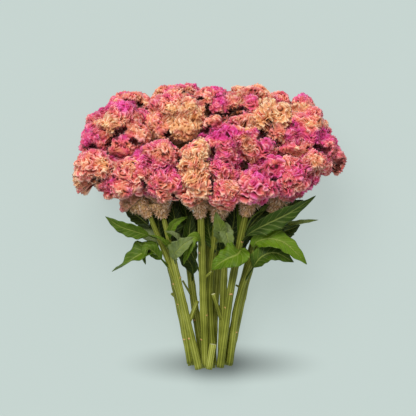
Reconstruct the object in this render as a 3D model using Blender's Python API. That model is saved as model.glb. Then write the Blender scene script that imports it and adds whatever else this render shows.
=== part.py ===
"""A bunch of cut cockscomb celosia, lying on its back.

The bunch is modelled standing, in millimetres: x to the right, y away from the viewer, z up the stems.
Meshes are made in metres, and a parent empty lays them down, heads and lowest stem ends on the surface at z = 0.
Each flower is three pieces: a crest, the bristly neck under it, and a ribbed stem. Leaves are pieces of their own.
The origin is on the surface, under the middle of the lying bunch.
"""

import math
import random
from collections import namedtuple

import bmesh
import bpy
import numpy as np
from mathutils import Vector

# Lying pose
STEM_RISE = math.radians(12)      # slope of the stems from the surface up to the heads
MILLIMETRE = 0.001
TOUCH_GAP = 0.3                   # clearance between pieces that touch

# Stems and necks
STEM_RADIUS_FOOT = 5.3
STEM_RADIUS_TOP = 4.7
STEM_SIDES = 10
STEM_SPANS = 8
RIB_DEPTH = 0.09                  # share of the radius
NECK_SIDES = 12
NECK_RINGS = 5
NECK_STEP = 0.6                   # how much wider a neck starts than its stem ends
NECK_FLARE = 1.4                  # above 1, a neck opens late, like a trumpet
BRISTLE_DEPTH = 0.10
TWIG_TAPER = 0.12                 # share of its radius that a side shoot loses to its cut end

# Crests
CREST_POINTS = 360
CREST_FACING = 0.38               # how much denser the outward side is meshed
LOBE_FULLNESS = 1.13              # how far neighbouring heads would grow into each other
RUFFLE_WAVES = 7
RUFFLE_LENGTH = 24.0
RUFFLE_DEPTH = 3.0
RUFFLE_MIDDLE = 0.4               # the height of a fold that lies on the lobes' own surface
LOBE_BLEND = 40
CUT_BLEND = 16
CORE_SHARE = 0.62
ROOT_DEPTH = 8.0                  # how far above the neck the head's fleshy root is centred
STALK_SEARCH = 95.0               # stalks further than this from a head's centre are clear of it
LEAST_REACH = 4.0                 # a head is never cut nearer than this to its centre

# Leaves
BLADE_THICKNESS = 0.9
PETIOLE_WIDTH = 2.6
PETIOLE_THICKENING = 1.3          # how much thicker than the blade the petiole starts
PETIOLE_GAP = 0.5                 # clearance at a stem's ribs
WAVES_ALONG = 9.0                 # radians of edge wave along a leaf
WAVES_ACROSS = 2.2                # and from its midrib to its edge
LEAF_STATIONS = 9

Lobe = namedtuple("Lobe", "across back up half_wide half_deep half_high")
Flower = namedtuple("Flower", "foot way neck collar neck_radius outward lobes colour")
Leaf = namedtuple("Leaf", "start path petiole half_width cup wave facing colour")

MAGENTA = (0.45, 0.045, 0.12, 1)
CORAL = (0.55, 0.12, 0.08, 1)
SALMON = (0.62, 0.20, 0.13, 1)
PEACH = (0.66, 0.30, 0.17, 1)
TAN = (0.22, 0.13, 0.06, 1)
STEM_GREEN = (0.20, 0.20, 0.035, 1)
MID_GREEN = (0.10, 0.17, 0.02, 1)
DARK_GREEN = (0.045, 0.065, 0.008, 1)

# Every place is (across, back, up) from the middle of the stem ends. Negative back is towards the viewer.
FLOWERS = {
    "left_front": Flower(
        (-23, -8.5, 0), (-46, -22, 111), (-84, -38, 215), (-99, -41, 236), 14, (-0.7, -0.7, 0.1),
        [Lobe(-154, -46, 284, 33, 32, 27), Lobe(-122, -54, 252, 33, 27, 20), Lobe(-112, -50, 276, 26, 28, 24),
         Lobe(-176, -44, 263, 12, 20, 14)],
        CORAL),
    "left_middle_front": Flower(
        (-13, -16.5, 0), (-40, -30, 119), (-62, -42, 213), (-68, -45, 235), 14, (-0.2, -0.95, 0.1),
        [Lobe(-92, -56, 276, 27, 27, 27), Lobe(-62, -62, 260, 28, 27, 26), Lobe(-63, -50, 302, 30, 30, 20)],
        MAGENTA),
    "middle_tall": Flower(
        (-3.5, -7, 0), (-5, -26, 110), (-8, -44, 214), (-14, -50, 236), 13, (-0.1, -0.98, 0.1),
        [Lobe(-17, -64, 262, 24, 27, 29), Lobe(-17, -60, 292, 24, 28, 27)],
        PEACH),
    "middle_low": Flower(
        (7.5, -6, 0), (5, -12, 110), (12, -36, 206), (17, -44, 229), 12, (0.1, -0.98, 0.0),
        [Lobe(21, -62, 251, 23, 26, 26), Lobe(22, -56, 274, 23, 27, 22)],
        CORAL),
    "right_middle_front": Flower(
        (17, -16.5, 0), (31.5, -32, 119), (52, -43, 215), (58, -46, 237), 14, (0.15, -0.95, 0.1),
        [Lobe(68, -62, 258, 26, 28, 25), Lobe(90, -52, 283, 24, 30, 20)],
        MAGENTA),
    "right_front": Flower(
        (29, -9.5, 0), (45.5, -20, 108), (89, -38, 220), (98, -42, 242), 14, (0.6, -0.75, 0.1),
        [Lobe(119, -54, 270, 30, 29, 28), Lobe(155, -40, 288, 23, 30, 21)],
        SALMON),
    "left_back": Flower(
        (-17, 1.5, 0), (-52, -2, 150), (-102, 0, 272), (-111, 0, 293), 14, (-0.6, -0.25, 0.7),
        [Lobe(-158, -30, 319, 23, 34, 24), Lobe(-116, -42, 312, 24, 28, 18), Lobe(-141, -24, 342, 24, 34, 22),
         Lobe(-103, -28, 331, 22, 32, 22), Lobe(-147, -4, 350, 25, 36, 23), Lobe(-106, -8, 349, 25, 36, 22),
         Lobe(-112, 18, 368, 31, 34, 24)],
        MAGENTA),
    "left_middle_back": Flower(
        (-6, 4, 0), (-22, 3, 150), (-41, 0, 296), (-45, 0, 317), 13, (-0.1, -0.3, 0.9),
        [Lobe(-67, -22, 339, 21, 33, 24), Lobe(-32, -30, 338, 24, 28, 22), Lobe(-66, 0, 366, 22, 34, 20),
         Lobe(-27, -20, 358, 26, 34, 26), Lobe(-5, -2, 376, 19, 30, 18), Lobe(-38, 18, 381, 34, 36, 21)],
        SALMON),
    "centre": Flower(
        (18.5, -4, 0), (20, -8, 130), (31, -8, 260), (35, -13, 281), 12, (0.0, -0.9, 0.4),
        [Lobe(15, -50, 307, 31, 30, 27), Lobe(60, -38, 318, 23, 30, 18), Lobe(75, -44, 307, 24, 28, 18),
         Lobe(8, -24, 342, 18, 30, 18), Lobe(44, -22, 342, 26, 34, 19)],
        MAGENTA),
    "top": Flower(
        (5, 5.5, 0), (15, 9, 160), (32, 15, 324), (35, 17, 345), 12, (0.0, -0.1, 1.0),
        [Lobe(14, 12, 381, 18, 30, 18), Lobe(55, 22, 378, 29, 36, 23), Lobe(18, -6, 364, 17, 28, 18),
         Lobe(37, 2, 372, 20, 30, 18), Lobe(62, -4, 368, 18, 30, 20)],
        SALMON),
    "right_middle_back": Flower(
        (16.5, 7.5, 0), (40, 8, 150), (82, 4, 298), (88, 4, 319), 12, (0.2, -0.4, 0.9),
        [Lobe(90, -16, 352, 33, 38, 24), Lobe(98, 14, 370, 22, 32, 19), Lobe(95, -30, 331, 19, 28, 16)],
        PEACH),
    "right_back": Flower(
        (27.5, 2.5, 0), (62, 2, 150), (116, 0, 268), (126, -2, 289), 14, (0.75, -0.2, 0.6),
        [Lobe(129, 14, 367, 20, 34, 22), Lobe(144, -8, 346, 27, 38, 20), Lobe(120, -28, 329, 22, 30, 17),
         Lobe(126, -38, 304, 27, 28, 20), Lobe(159, -22, 312, 26, 36, 27), Lobe(184, -22, 298, 8, 24, 18)],
        CORAL),
    "under_left": Flower(
        (-22.5, 12, 0), (-48, 22, 120), (-76, 34, 225), (-85, 40, 246), 14, (-0.4, 0.9, 0.1),
        [Lobe(-147, 48, 272, 26, 28, 24), Lobe(-110, 56, 264, 27, 22, 22), Lobe(-74, 58, 278, 24, 22, 22),
         Lobe(-152, 48, 308, 28, 34, 24), Lobe(-113, 62, 310, 28, 24, 26), Lobe(-72, 62, 318, 26, 25, 24),
         Lobe(-126, 52, 342, 30, 34, 24), Lobe(-84, 54, 346, 26, 34, 22)],
        CORAL),
    "under_middle": Flower(
        (-0.5, 16, 0), (-1, 28, 120), (1, 36, 222), (2, 42, 243), 14, (0.0, 1.0, 0.1),
        [Lobe(-38, 56, 268, 26, 24, 22), Lobe(1, 60, 262, 25, 20, 22), Lobe(40, 56, 272, 26, 24, 22),
         Lobe(-38, 60, 302, 28, 25, 24), Lobe(5, 64, 300, 25, 22, 24), Lobe(43, 60, 308, 27, 26, 24),
         Lobe(-20, 62, 338, 28, 30, 24), Lobe(26, 60, 342, 28, 32, 24)],
        SALMON),
    "under_right": Flower(
        (24.5, 15.5, 0), (50, 25, 120), (78, 35, 225), (86, 41, 246), 14, (0.4, 0.9, 0.1),
        [Lobe(80, 58, 276, 24, 22, 22), Lobe(114, 56, 266, 27, 22, 23), Lobe(148, 46, 278, 26, 30, 24),
         Lobe(82, 62, 316, 27, 25, 25), Lobe(121, 60, 306, 28, 25, 24), Lobe(152, 46, 314, 26, 36, 26),
         Lobe(96, 56, 346, 27, 33, 22), Lobe(134, 50, 340, 28, 36, 24)],
        MAGENTA),
}

# A stem that was cut short near its foot, in front of the others
STUB_FOOT = (2.6, -15.9, 0)
STUB_TOP = (5, -20.5, 37)
STUB_RADIUS = 5.0

# Short side shoots and cut twigs: stem, place along it (0 foot, 1 top), direction, length, radius
SIDE_SHOOTS = [
    ("middle_low", 0.26, (0.42, -0.55, 0.72), 17, 3.2),
    ("left_back", 0.30, (-0.9, 0.25, 0.4), 13, 2.6),
    ("right_front", 0.52, (0.75, -0.35, 0.55), 13, 2.4),
    ("under_left", 0.42, (-0.7, 0.3, 0.6), 14, 2.6),
]

LEAVES = {
    "left_long": Leaf(
        ("left_front", 0.86), [(-90, -44, 191), (-108, -50, 195), (-126, -52, 202), (-143, -52, 215)],
        0.2, 9, 0.25, 1.6, (0.25, -0.85, -0.45), MID_GREEN),
    "left_folded": Leaf(
        ("left_front", 0.66), [(-74, -36, 162), (-88, -42, 168), (-106, -46, 163), (-120, -48, 150), (-134, -46, 140)],
        0.3, 11, 0.35, 2.0, (0.1, -0.8, 0.6), MID_GREEN),
    "left_high": Leaf(
        ("left_front", 0.90), [(-88, -24, 206), (-100, -14, 216), (-112, -8, 223), (-124, -4, 229)],
        0.2, 9, 0.25, 1.5, (-0.2, -0.9, 0.3), MID_GREEN),
    "left_leaflet": Leaf(
        ("left_middle_front", 0.84), [(-48, -38, 188), (-42, -36, 204), (-42, -34, 218), (-46, -32, 232)],
        0.15, 10, 0.2, 1.5, (0.3, -0.9, 0.1), DARK_GREEN),
    "left_twisted": Leaf(
        ("left_middle_front", 0.70), [(-42, -46, 162), (-44, -58, 178), (-50, -60, 192), (-56, -58, 200)],
        0.2, 9, 0.35, 2.0, (-0.4, -0.8, 0.3), MID_GREEN),
    "middle_small": Leaf(
        ("middle_tall", 0.80), [(-14, -44, 176), (-22, -50, 188), (-28, -54, 198)],
        0.2, 8, 0.3, 1.4, (0.2, -0.9, 0.3), MID_GREEN),
    "middle_dark": Leaf(
        ("middle_tall", 0.64), [(-18, -30, 152), (-26, -28, 172), (-26, -26, 198), (-22, -24, 222)],
        0.2, 11, 0.25, 2.0, (0.3, -0.9, 0.2), DARK_GREEN),
    "front_crinkled": Leaf(
        ("right_middle_front", 0.80), [(36, -48, 176), (28, -58, 170), (18, -60, 158), (8, -56, 144)],
        0.1, 15, 0.25, 2.6, (0.25, -0.9, 0.35), MID_GREEN),
    "right_large": Leaf(
        ("right_middle_front", 0.84), [(56, -54, 188), (82, -60, 200), (112, -60, 214), (150, -54, 243)],
        0.14, 14, 0.3, 2.4, (-0.2, -0.85, -0.45), DARK_GREEN),
    "right_light": Leaf(
        ("right_front", 0.72), [(72, -38, 170), (94, -48, 183), (120, -52, 178), (142, -48, 149)],
        0.2, 13, 0.3, 2.2, (0.1, -0.85, 0.5), MID_GREEN),
    "right_low": Leaf(
        ("right_front", 0.56), [(60, -34, 138), (74, -42, 156), (94, -44, 161), (115, -40, 149)],
        0.32, 8, 0.3, 1.6, (0.0, -0.8, 0.6), DARK_GREEN),
    "right_dark": Leaf(
        ("right_front", 0.82), [(86, -24, 190), (108, -18, 194), (130, -16, 202), (152, -14, 210)],
        0.16, 12, 0.25, 2.2, (0.1, -0.9, 0.2), DARK_GREEN),
    "middle_pale": Leaf(
        ("middle_low", 0.86), [(17, -42, 186), (21, -54, 200), (20, -58, 213)],
        0.2, 8, 0.3, 1.2, (-0.1, -0.95, 0.1), MID_GREEN),
    "under_long": Leaf(
        ("under_right", 0.78), [(86, 36, 186), (106, 40, 192), (128, 40, 188), (148, 36, 178)],
        0.2, 12, 0.3, 2.2, (0.0, 0.8, 0.5), MID_GREEN),
}


def clear_scene():
    for thing in list(bpy.data.objects):
        bpy.data.objects.remove(thing, do_unlink=True)


def make_material(name, colour, roughness):
    material = bpy.data.materials.new(name)
    material.use_nodes = True
    shader = material.node_tree.nodes["Principled BSDF"]
    shader.inputs["Base Color"].default_value = colour
    shader.inputs["Roughness"].default_value = roughness
    shader.inputs["Metallic"].default_value = 0.0
    material.diffuse_color = colour
    return material


def make_object(name, vertices, faces, centre, colour, roughness, bunch):
    """One closed solid, its origin at its own centre, hung under the bunch's empty."""
    mesh = bpy.data.meshes.new(name)
    mesh.from_pydata([tuple((Vector(v) - Vector(centre)) * MILLIMETRE) for v in vertices], [], faces)
    tidy = bmesh.new()
    tidy.from_mesh(mesh)
    bmesh.ops.triangulate(tidy, faces=tidy.faces[:], quad_method="FIXED")
    bmesh.ops.recalc_face_normals(tidy, faces=tidy.faces[:])
    tidy.to_mesh(mesh)
    tidy.free()
    thing = bpy.data.objects.new(name, mesh)
    bpy.context.collection.objects.link(thing)
    thing.location = Vector(centre) * MILLIMETRE
    thing.parent = bunch
    mesh.materials.append(make_material(name + "_finish", colour, roughness))
    mesh.shade_smooth()
    mesh.set_sharp_from_angle(angle=math.radians(50))
    return thing


def smooth_path(points, count):
    """Points at even steps of a curve that passes through the given ones."""
    knots = [Vector(p) for p in points]
    knots = [2 * knots[0] - knots[1]] + knots + [2 * knots[-1] - knots[-2]]
    fine = []
    for a, b, c, d in zip(knots, knots[1:], knots[2:], knots[3:]):
        for step in range(12):
            t = step / 12
            bend = (2 * a - 5 * b + 4 * c - d) * t * t + (3 * b - a - 3 * c + d) * t * t * t
            fine.append((2 * b + (c - a) * t + bend) / 2)
    fine.append(knots[-2])
    lengths = [0.0]
    for a, b in zip(fine, fine[1:]):
        lengths.append(lengths[-1] + (b - a).length)
    path = []
    for k in range(count):
        goal = lengths[-1] * k / (count - 1)
        i = max(j for j in range(len(fine) - 1) if lengths[j] <= goal + 1e-9)
        share = (goal - lengths[i]) / (lengths[i + 1] - lengths[i])
        path.append(fine[i].lerp(fine[i + 1], min(share, 1.0)))
    return path


def frames_along(path, side):
    """At each point of a path: the way on, and two directions square to it that don't twist."""
    frames = []
    side = Vector(side)
    for k, point in enumerate(path):
        ahead = (path[min(k + 1, len(path) - 1)] - path[max(k - 1, 0)]).normalized()
        side = (side - ahead * side.dot(ahead)).normalized()
        frames.append((point, ahead, side, ahead.cross(side)))
    return frames


def tube_faces(rings, sides):
    """Side walls between rings of points, and a flat cap at either end."""
    faces = []
    for ring in range(rings - 1):
        for k in range(sides):
            a = ring * sides + k
            b = ring * sides + (k + 1) % sides
            faces.append((a, b, b + sides, a + sides))
    faces.append(tuple(range(sides))[::-1])
    faces.append(tuple((rings - 1) * sides + k for k in range(sides)))
    return faces


def stem_path(name):
    flower = FLOWERS[name]
    return smooth_path([flower.foot, flower.way, flower.neck], STEM_SPANS + 1)


def stem_radius(share):
    return STEM_RADIUS_FOOT + (STEM_RADIUS_TOP - STEM_RADIUS_FOOT) * share


def ribbed_tube(path, radius_at, sides, rib_depth):
    """Rings round a path. Every other point of a ring stands on a rib."""
    vertices = []
    for k, (point, ahead, side, other) in enumerate(frames_along(path, (1, 0, 0))):
        radius = radius_at(k / (len(path) - 1))
        for s in range(sides):
            angle = 2 * math.pi * s / sides
            reach = radius * (1 - rib_depth * (s % 2))
            vertices.append(point + reach * (math.cos(angle) * side + math.sin(angle) * other))
    return vertices


def build_stem(name, bunch):
    path = stem_path(name)
    end_gap = (path[-1] - path[-2]).normalized() * TOUCH_GAP
    path[-1] = path[-1] - end_gap
    vertices = ribbed_tube(path, stem_radius, STEM_SIDES, RIB_DEPTH)
    stem = make_object("stem_" + name, vertices, tube_faces(len(path), STEM_SIDES), path[0], STEM_GREEN, 0.55, bunch)
    shoots = [shoot for shoot in SIDE_SHOOTS if shoot[0] == name]
    for shoot in shoots:
        join_side_shoot(stem, path, shoot, bunch)
    return stem


def join_side_shoot(stem, path, shoot, bunch):
    """A short cut twig, its root sunk to the middle of the stem, joined to it in one solid."""
    _, along, direction, length, radius = shoot
    place = along * (len(path) - 1)
    root = path[int(place)].lerp(path[int(place) + 1], place - int(place))
    heading = Vector(direction).normalized()
    reach = stem_radius(along) + length
    twig_path = [root + heading * reach * k / 2 for k in range(3)]
    vertices = ribbed_tube(twig_path, lambda share: radius * (1 - TWIG_TAPER * share), 6, 0.0)
    twig = make_object("twig", vertices, tube_faces(3, 6), path[0], STEM_GREEN, 0.55, bunch)
    union = stem.modifiers.new("join_twig", "BOOLEAN")
    union.operation = "UNION"
    union.solver = "EXACT"
    union.object = twig
    bpy.context.view_layer.update()
    depsgraph = bpy.context.evaluated_depsgraph_get()
    joined = bpy.data.meshes.new_from_object(stem.evaluated_get(depsgraph))
    stem.modifiers.clear()
    stem.data = joined
    bpy.data.objects.remove(twig, do_unlink=True)


def build_stub(bunch):
    path = smooth_path([STUB_FOOT, STUB_TOP], 3)
    vertices = ribbed_tube(path, lambda share: STUB_RADIUS, STEM_SIDES, RIB_DEPTH)
    make_object("stem_stub", vertices, tube_faces(3, STEM_SIDES), path[0], STEM_GREEN, 0.6, bunch)


def seat_on_stem(name, frame):
    """Turns a neck's lowest ring square to the end of its stem, so that the two faces meet."""
    path = stem_path(name)
    ahead = (path[-1] - path[-2]).normalized()
    side = (frame[2] - ahead * frame[2].dot(ahead)).normalized()
    return frame[0], ahead, side, ahead.cross(side)


def build_neck(name, bunch):
    """A funnel of seed florets: narrow at the stem, wide under the crest, bristles as alternate steps."""
    flower = FLOWERS[name]
    low = Vector(flower.neck)
    high = Vector(flower.collar)
    axis = (high - low).normalized()
    path = [low.lerp(high - axis * TOUCH_GAP, k / (NECK_RINGS - 1)) for k in range(NECK_RINGS)]
    vertices = []
    frames = frames_along(path, (1, 0, 0))
    frames[0] = seat_on_stem(name, frames[0])
    for k, (point, ahead, side, other) in enumerate(frames):
        share = k / (NECK_RINGS - 1)
        start = STEM_RADIUS_TOP + NECK_STEP
        flare = start + (flower.neck_radius - start) * share ** NECK_FLARE
        for s in range(NECK_SIDES):
            angle = 2 * math.pi * (s + 0.5 * (k % 2)) / NECK_SIDES
            bristle = 1 - BRISTLE_DEPTH * ((s + k) % 2) * math.sin(math.pi * share)
            vertices.append(point + flare * bristle * (math.cos(angle) * side + math.sin(angle) * other))
    faces = tube_faces(NECK_RINGS, NECK_SIDES)
    make_object("neck_" + name, vertices, faces, low, TAN, 0.85, bunch)


def lobe_centre(lobe):
    return np.array([lobe.across, lobe.back, lobe.up], float)


def lobe_size(lobe):
    return np.array([lobe.half_wide, lobe.half_deep, lobe.half_high], float) * LOBE_FULLNESS


def head_axis(flower):
    return np.array((Vector(flower.collar) - Vector(flower.neck)).normalized())


def head_centre(name):
    """The middle of a head's lobes, the point that its surface is measured from."""
    lobes = FLOWERS[name].lobes
    weights = np.array([lobe.half_wide * lobe.half_deep * lobe.half_high for lobe in lobes])
    centres = np.array([lobe_centre(lobe) for lobe in lobes])
    return (centres * weights[:, None]).sum(0) / weights.sum()


def head_reach(name, direction):
    """How far a head extends from its centre in a direction."""
    centre = head_centre(name)
    return max(
        float((lobe_centre(lobe) - centre) @ direction + np.linalg.norm(lobe_size(lobe) * direction))
        for lobe in FLOWERS[name].lobes)


def even_directions(count, towards):
    """Directions spread evenly over a sphere, then drawn towards one side."""
    k = np.arange(count) + 0.5
    height = 1 - 2 * k / count
    turn = math.pi * (1 + 5 ** 0.5) * k
    ring = np.sqrt(1 - height * height)
    rays = np.stack([ring * np.cos(turn), ring * np.sin(turn), height], 1)
    rays = rays + CREST_FACING * np.array(Vector(towards).normalized())
    return rays / np.linalg.norm(rays, axis=1)[:, None]


def lobe_distance(rays, centre, middle, size):
    """Where rays from the head's centre leave an ellipsoid, or 0 where they miss it."""
    start = (centre - middle) / size
    slope = rays / size
    a = (slope * slope).sum(1)
    b = (slope * start).sum(1)
    inside = b * b - a * ((start * start).sum() - 1)
    hit = inside > 0
    distance = np.where(hit, (-b + np.sqrt(np.where(hit, inside, 0))) / a, 0)
    return np.maximum(distance, 0)


def lobed_radius(name, rays):
    """The head's bare shape: its lobes blended with each other and with a smaller core."""
    flower = FLOWERS[name]
    centre = head_centre(name)
    power = np.zeros(len(rays))
    spread = np.zeros(3)
    for lobe in flower.lobes:
        power += lobe_distance(rays, centre, lobe_centre(lobe), lobe_size(lobe)) ** LOBE_BLEND
        spread = np.maximum(spread, np.abs(lobe_centre(lobe) - centre) + lobe_size(lobe))
    power += lobe_distance(rays, centre, centre, spread * CORE_SHARE) ** LOBE_BLEND
    root = np.array(flower.collar) + head_axis(flower) * ROOT_DEPTH
    power += lobe_distance(rays, centre, root, np.full(3, flower.neck_radius + ROOT_DEPTH)) ** LOBE_BLEND
    return power ** (1 / LOBE_BLEND)


def ruffle_height(points, draw):
    """Meandering folds, from -1 in the pits to 1 on the lips."""
    total = np.zeros(len(points))
    for _ in range(RUFFLE_WAVES):
        heading = Vector([draw.gauss(0, 1) for _ in range(3)]).normalized()
        wave = np.array(heading) * 2 * math.pi / RUFFLE_LENGTH
        total += np.sin(points @ wave + draw.uniform(0, 2 * math.pi))
    return 1 - 2 * np.minimum(np.abs(total) / math.sqrt(RUFFLE_WAVES), 1)


def cuts_between_heads(name):
    """A plane between this head and each other one, as an outward direction and its distance from the centre."""
    cuts = []
    centre = head_centre(name)
    for other in FLOWERS:
        if other == name:
            continue
        gap = head_centre(other) - centre
        span = float(np.linalg.norm(gap))
        direction = gap / span
        own = head_reach(name, direction)
        theirs = head_reach(other, -direction)
        if own + theirs > span:
            cuts.append((direction, span * own / (own + theirs) - TOUCH_GAP / 2))
    return cuts


def stalk_points(name):
    """Points down the middle of a flower's neck and stem, each with the radius there."""
    flower = FLOWERS[name]
    points = []
    for k, point in enumerate(smooth_path([flower.foot, flower.way, flower.neck], 25)):
        points.append((np.array(point), stem_radius(k / 24)))
    for k in range(1, 6):
        point = Vector(flower.neck).lerp(Vector(flower.collar), k / 5)
        radius = STEM_RADIUS_TOP + (flower.neck_radius - STEM_RADIUS_TOP) * (k / 5) ** NECK_FLARE
        points.append((np.array(point), radius))
    return points


def cuts_beside_stalks(name):
    """A plane between this head and each other flower's neck and stem."""
    cuts = []
    centre = head_centre(name)
    for other in FLOWERS:
        if other == name:
            continue
        near = [(p, r) for p, r in stalk_points(other) if np.linalg.norm(p - centre) < STALK_SEARCH]
        if not near:
            continue
        closest, radius = min(near, key=lambda item: np.linalg.norm(item[0] - centre) - item[1])
        direction = (closest - centre) / np.linalg.norm(closest - centre)
        distance = min(float((p - centre) @ direction) - r for p, r in near) - TOUCH_GAP
        if distance < head_reach(name, direction):
            cuts.append((direction, max(distance, LEAST_REACH)))
    return cuts


def plane_distance(rays, direction, distance):
    lean = rays @ direction
    return np.where(lean > 1e-6, distance / np.maximum(lean, 1e-6), np.inf)


def crest_radius(name, rays, floor):
    flower = FLOWERS[name]
    centre = head_centre(name)
    draw = random.Random("ruffles " + name)
    bare = lobed_radius(name, rays)
    folded = bare + RUFFLE_DEPTH * (ruffle_height(centre + rays * bare[:, None], draw) - RUFFLE_MIDDLE)
    power = folded ** -CUT_BLEND
    for direction, distance in cuts_between_heads(name) + cuts_beside_stalks(name):
        power += plane_distance(rays, direction, distance) ** -float(CUT_BLEND)
    radius = power ** (-1 / CUT_BLEND)
    down = -head_axis(flower)
    to_collar = float((np.array(flower.collar) - centre) @ down)
    radius = np.minimum(radius, plane_distance(rays, down, to_collar))
    floor_direction, floor_place = floor
    return np.minimum(radius, plane_distance(rays, floor_direction, floor_place - float(centre @ floor_direction)))


def build_crest(name, floor, bunch):
    """A head's surface as distances from its centre, over directions joined like a ball's facets."""
    flower = FLOWERS[name]
    centre = head_centre(name)
    rays = even_directions(CREST_POINTS, flower.outward)
    radius = crest_radius(name, rays, floor)
    ball = bmesh.new()
    for ray in rays:
        ball.verts.new(ray)
    bmesh.ops.convex_hull(ball, input=ball.verts[:])
    ball.verts.index_update()
    faces = [tuple(v.index for v in face.verts) for face in ball.faces]
    directions = np.array([v.co for v in ball.verts])
    ball.free()
    nearest = [int(np.argmax(rays @ ray)) for ray in directions]
    vertices = [centre + rays[k] * radius[k] for k in nearest]
    make_object("crest_" + name, vertices, faces, tuple(centre), flower.colour, 0.8, bunch)


def leaf_seat(leaf):
    """The place on the stem's skin that the petiole grows from, and the direction out of the skin there."""
    name, along = leaf.start
    path = stem_path(name)
    place = along * (len(path) - 1)
    middle = path[int(place)].lerp(path[int(place) + 1], place - int(place))
    ahead = (path[int(place) + 1] - path[int(place)]).normalized()
    away = Vector(leaf.path[0]) - middle
    away = (away - ahead * away.dot(ahead)).normalized()
    return middle + away * (stem_radius(along) + PETIOLE_GAP), away


def blade_half_width(share, leaf):
    """Rod at the petiole, widest a little before the middle, pointed at the tip."""
    if share <= leaf.petiole:
        return PETIOLE_WIDTH / 2
    t = (share - leaf.petiole) / (1 - leaf.petiole)
    return PETIOLE_WIDTH / 2 * (1 - t) + leaf.half_width * math.sin(math.pi * t ** 0.8) ** 0.8 + 0.25


def build_leaf(name, bunch):
    """A thin arched blade on its petiole, its edges waved. Both faces are split into the same triangles."""
    leaf = LEAVES[name]
    draw = random.Random("leaf " + name)
    phase = draw.uniform(0, 2 * math.pi)
    seat, away = leaf_seat(leaf)
    path = smooth_path([seat] + leaf.path, LEAF_STATIONS + 1)
    upper, lower = [], []
    for k, point in enumerate(path):
        ahead = (path[min(k + 1, LEAF_STATIONS)] - path[max(k - 1, 0)]).normalized() if k else away
        face = Vector(leaf.facing)
        face = (face - ahead * face.dot(ahead)).normalized()
        side = ahead.cross(face)
        share = k / LEAF_STATIONS
        half = blade_half_width(share, leaf)
        thick = BLADE_THICKNESS + PETIOLE_THICKENING * max(0, 1 - share / (leaf.petiole + 0.05))
        for step in (-1, -0.5, 0, 0.5, 1):
            turn = phase + WAVES_ALONG * share + WAVES_ACROSS * step
            wave = leaf.wave * math.sin(turn) * abs(step) * min(1, half / leaf.half_width)
            lift = leaf.cup * half * abs(step) ** 1.5 + wave
            spot = point + side * half * step + face * lift
            upper.append(spot + face * thick / 2)
            lower.append(spot - face * thick / 2)
    vertices = upper + lower
    make_object("leaf_" + name, vertices, blade_faces(), path[0], leaf.colour, 0.5, bunch)


def blade_faces():
    """Triangles of both faces of a blade five points wide, and the strip round its edge."""
    rows = LEAF_STATIONS + 1
    back = rows * 5
    faces = []
    for row in range(rows - 1):
        for k in range(4):
            a = row * 5 + k
            b, c, d = a + 1, a + 6, a + 5
            for p, q, r in ((a, b, c), (a, c, d)):
                faces.append((p, q, r))
                faces.append((r + back, q + back, p + back))
    rim = list(range(5)) + [row * 5 + 4 for row in range(1, rows)]
    rim += [(rows - 1) * 5 + k for k in (3, 2, 1, 0)] + [row * 5 for row in range(rows - 2, 0, -1)]
    for a, b in zip(rim, rim[1:] + rim[:1]):
        faces.append((b, a, a + back, b + back))
    return faces


def resting_height():
    """How far the bunch is raised so that its lowest stem end touches the surface."""
    lowest = 0.0
    for name in FLOWERS:
        vertices = ribbed_tube(stem_path(name), stem_radius, STEM_SIDES, RIB_DEPTH)
        lowest = min([lowest] + [v.z * math.sin(STEM_RISE) - v.y * math.cos(STEM_RISE) for v in vertices])
    return -lowest


def centre_on_origin(bunch):
    """Brings the middle of the lying bunch over the origin."""
    bpy.context.view_layer.update()
    points = [piece.matrix_world @ vertex.co for piece in bunch.children for vertex in piece.data.vertices]
    for axis in (0, 1):
        places = [point[axis] for point in points]
        bunch.location[axis] -= (min(places) + max(places)) / 2
    bpy.context.view_layer.update()


def main():
    clear_scene()
    lift = resting_height()
    bunch = bpy.data.objects.new("bunch", None)
    bpy.context.collection.objects.link(bunch)
    bunch.rotation_euler = (STEM_RISE - math.pi / 2, 0, 0)
    bunch.location = (0, 0, lift * MILLIMETRE)
    floor = (np.array([0, math.cos(STEM_RISE), -math.sin(STEM_RISE)]), lift)
    for name in FLOWERS:
        build_stem(name, bunch)
        build_neck(name, bunch)
        build_crest(name, floor, bunch)
    build_stub(bunch)
    for name in LEAVES:
        build_leaf(name, bunch)
    centre_on_origin(bunch)


main()
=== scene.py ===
"""The looks of a bunch of cut cockscomb celosia that lies on a pale floor, seen from above.

Shapes are worked out in millimetres on the standing bunch: across to the right, back away from the viewer,
and up the stems. lay_down turns them into the frame's metres. Every comb is a ball of directions pushed out
to its head's surface, then folded into thin meandering lips.
"""
import math
import random
from collections import namedtuple
from functools import lru_cache

import bmesh
import bpy
import numpy as np
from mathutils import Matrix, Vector


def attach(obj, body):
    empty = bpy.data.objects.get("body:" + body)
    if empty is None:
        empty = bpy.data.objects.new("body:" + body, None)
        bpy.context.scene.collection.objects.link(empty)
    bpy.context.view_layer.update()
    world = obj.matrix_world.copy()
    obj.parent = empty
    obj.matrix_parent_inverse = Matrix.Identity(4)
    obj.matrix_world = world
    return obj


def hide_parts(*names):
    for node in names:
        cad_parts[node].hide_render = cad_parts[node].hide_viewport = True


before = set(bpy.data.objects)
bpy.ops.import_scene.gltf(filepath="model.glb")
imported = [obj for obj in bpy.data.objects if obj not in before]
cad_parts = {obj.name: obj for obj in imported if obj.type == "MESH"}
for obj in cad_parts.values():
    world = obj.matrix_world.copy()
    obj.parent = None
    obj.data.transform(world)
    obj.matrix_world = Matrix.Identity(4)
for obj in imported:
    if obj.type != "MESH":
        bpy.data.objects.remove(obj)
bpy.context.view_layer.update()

# The lying pose, as the frame has it. FOOT_PLACE is the middle of the stem ends.
MILLIMETRE = 0.001
STEM_RISE = math.radians(12)
FOOT_PLACE = np.array([0.09, -198.49, 20.66])
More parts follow.
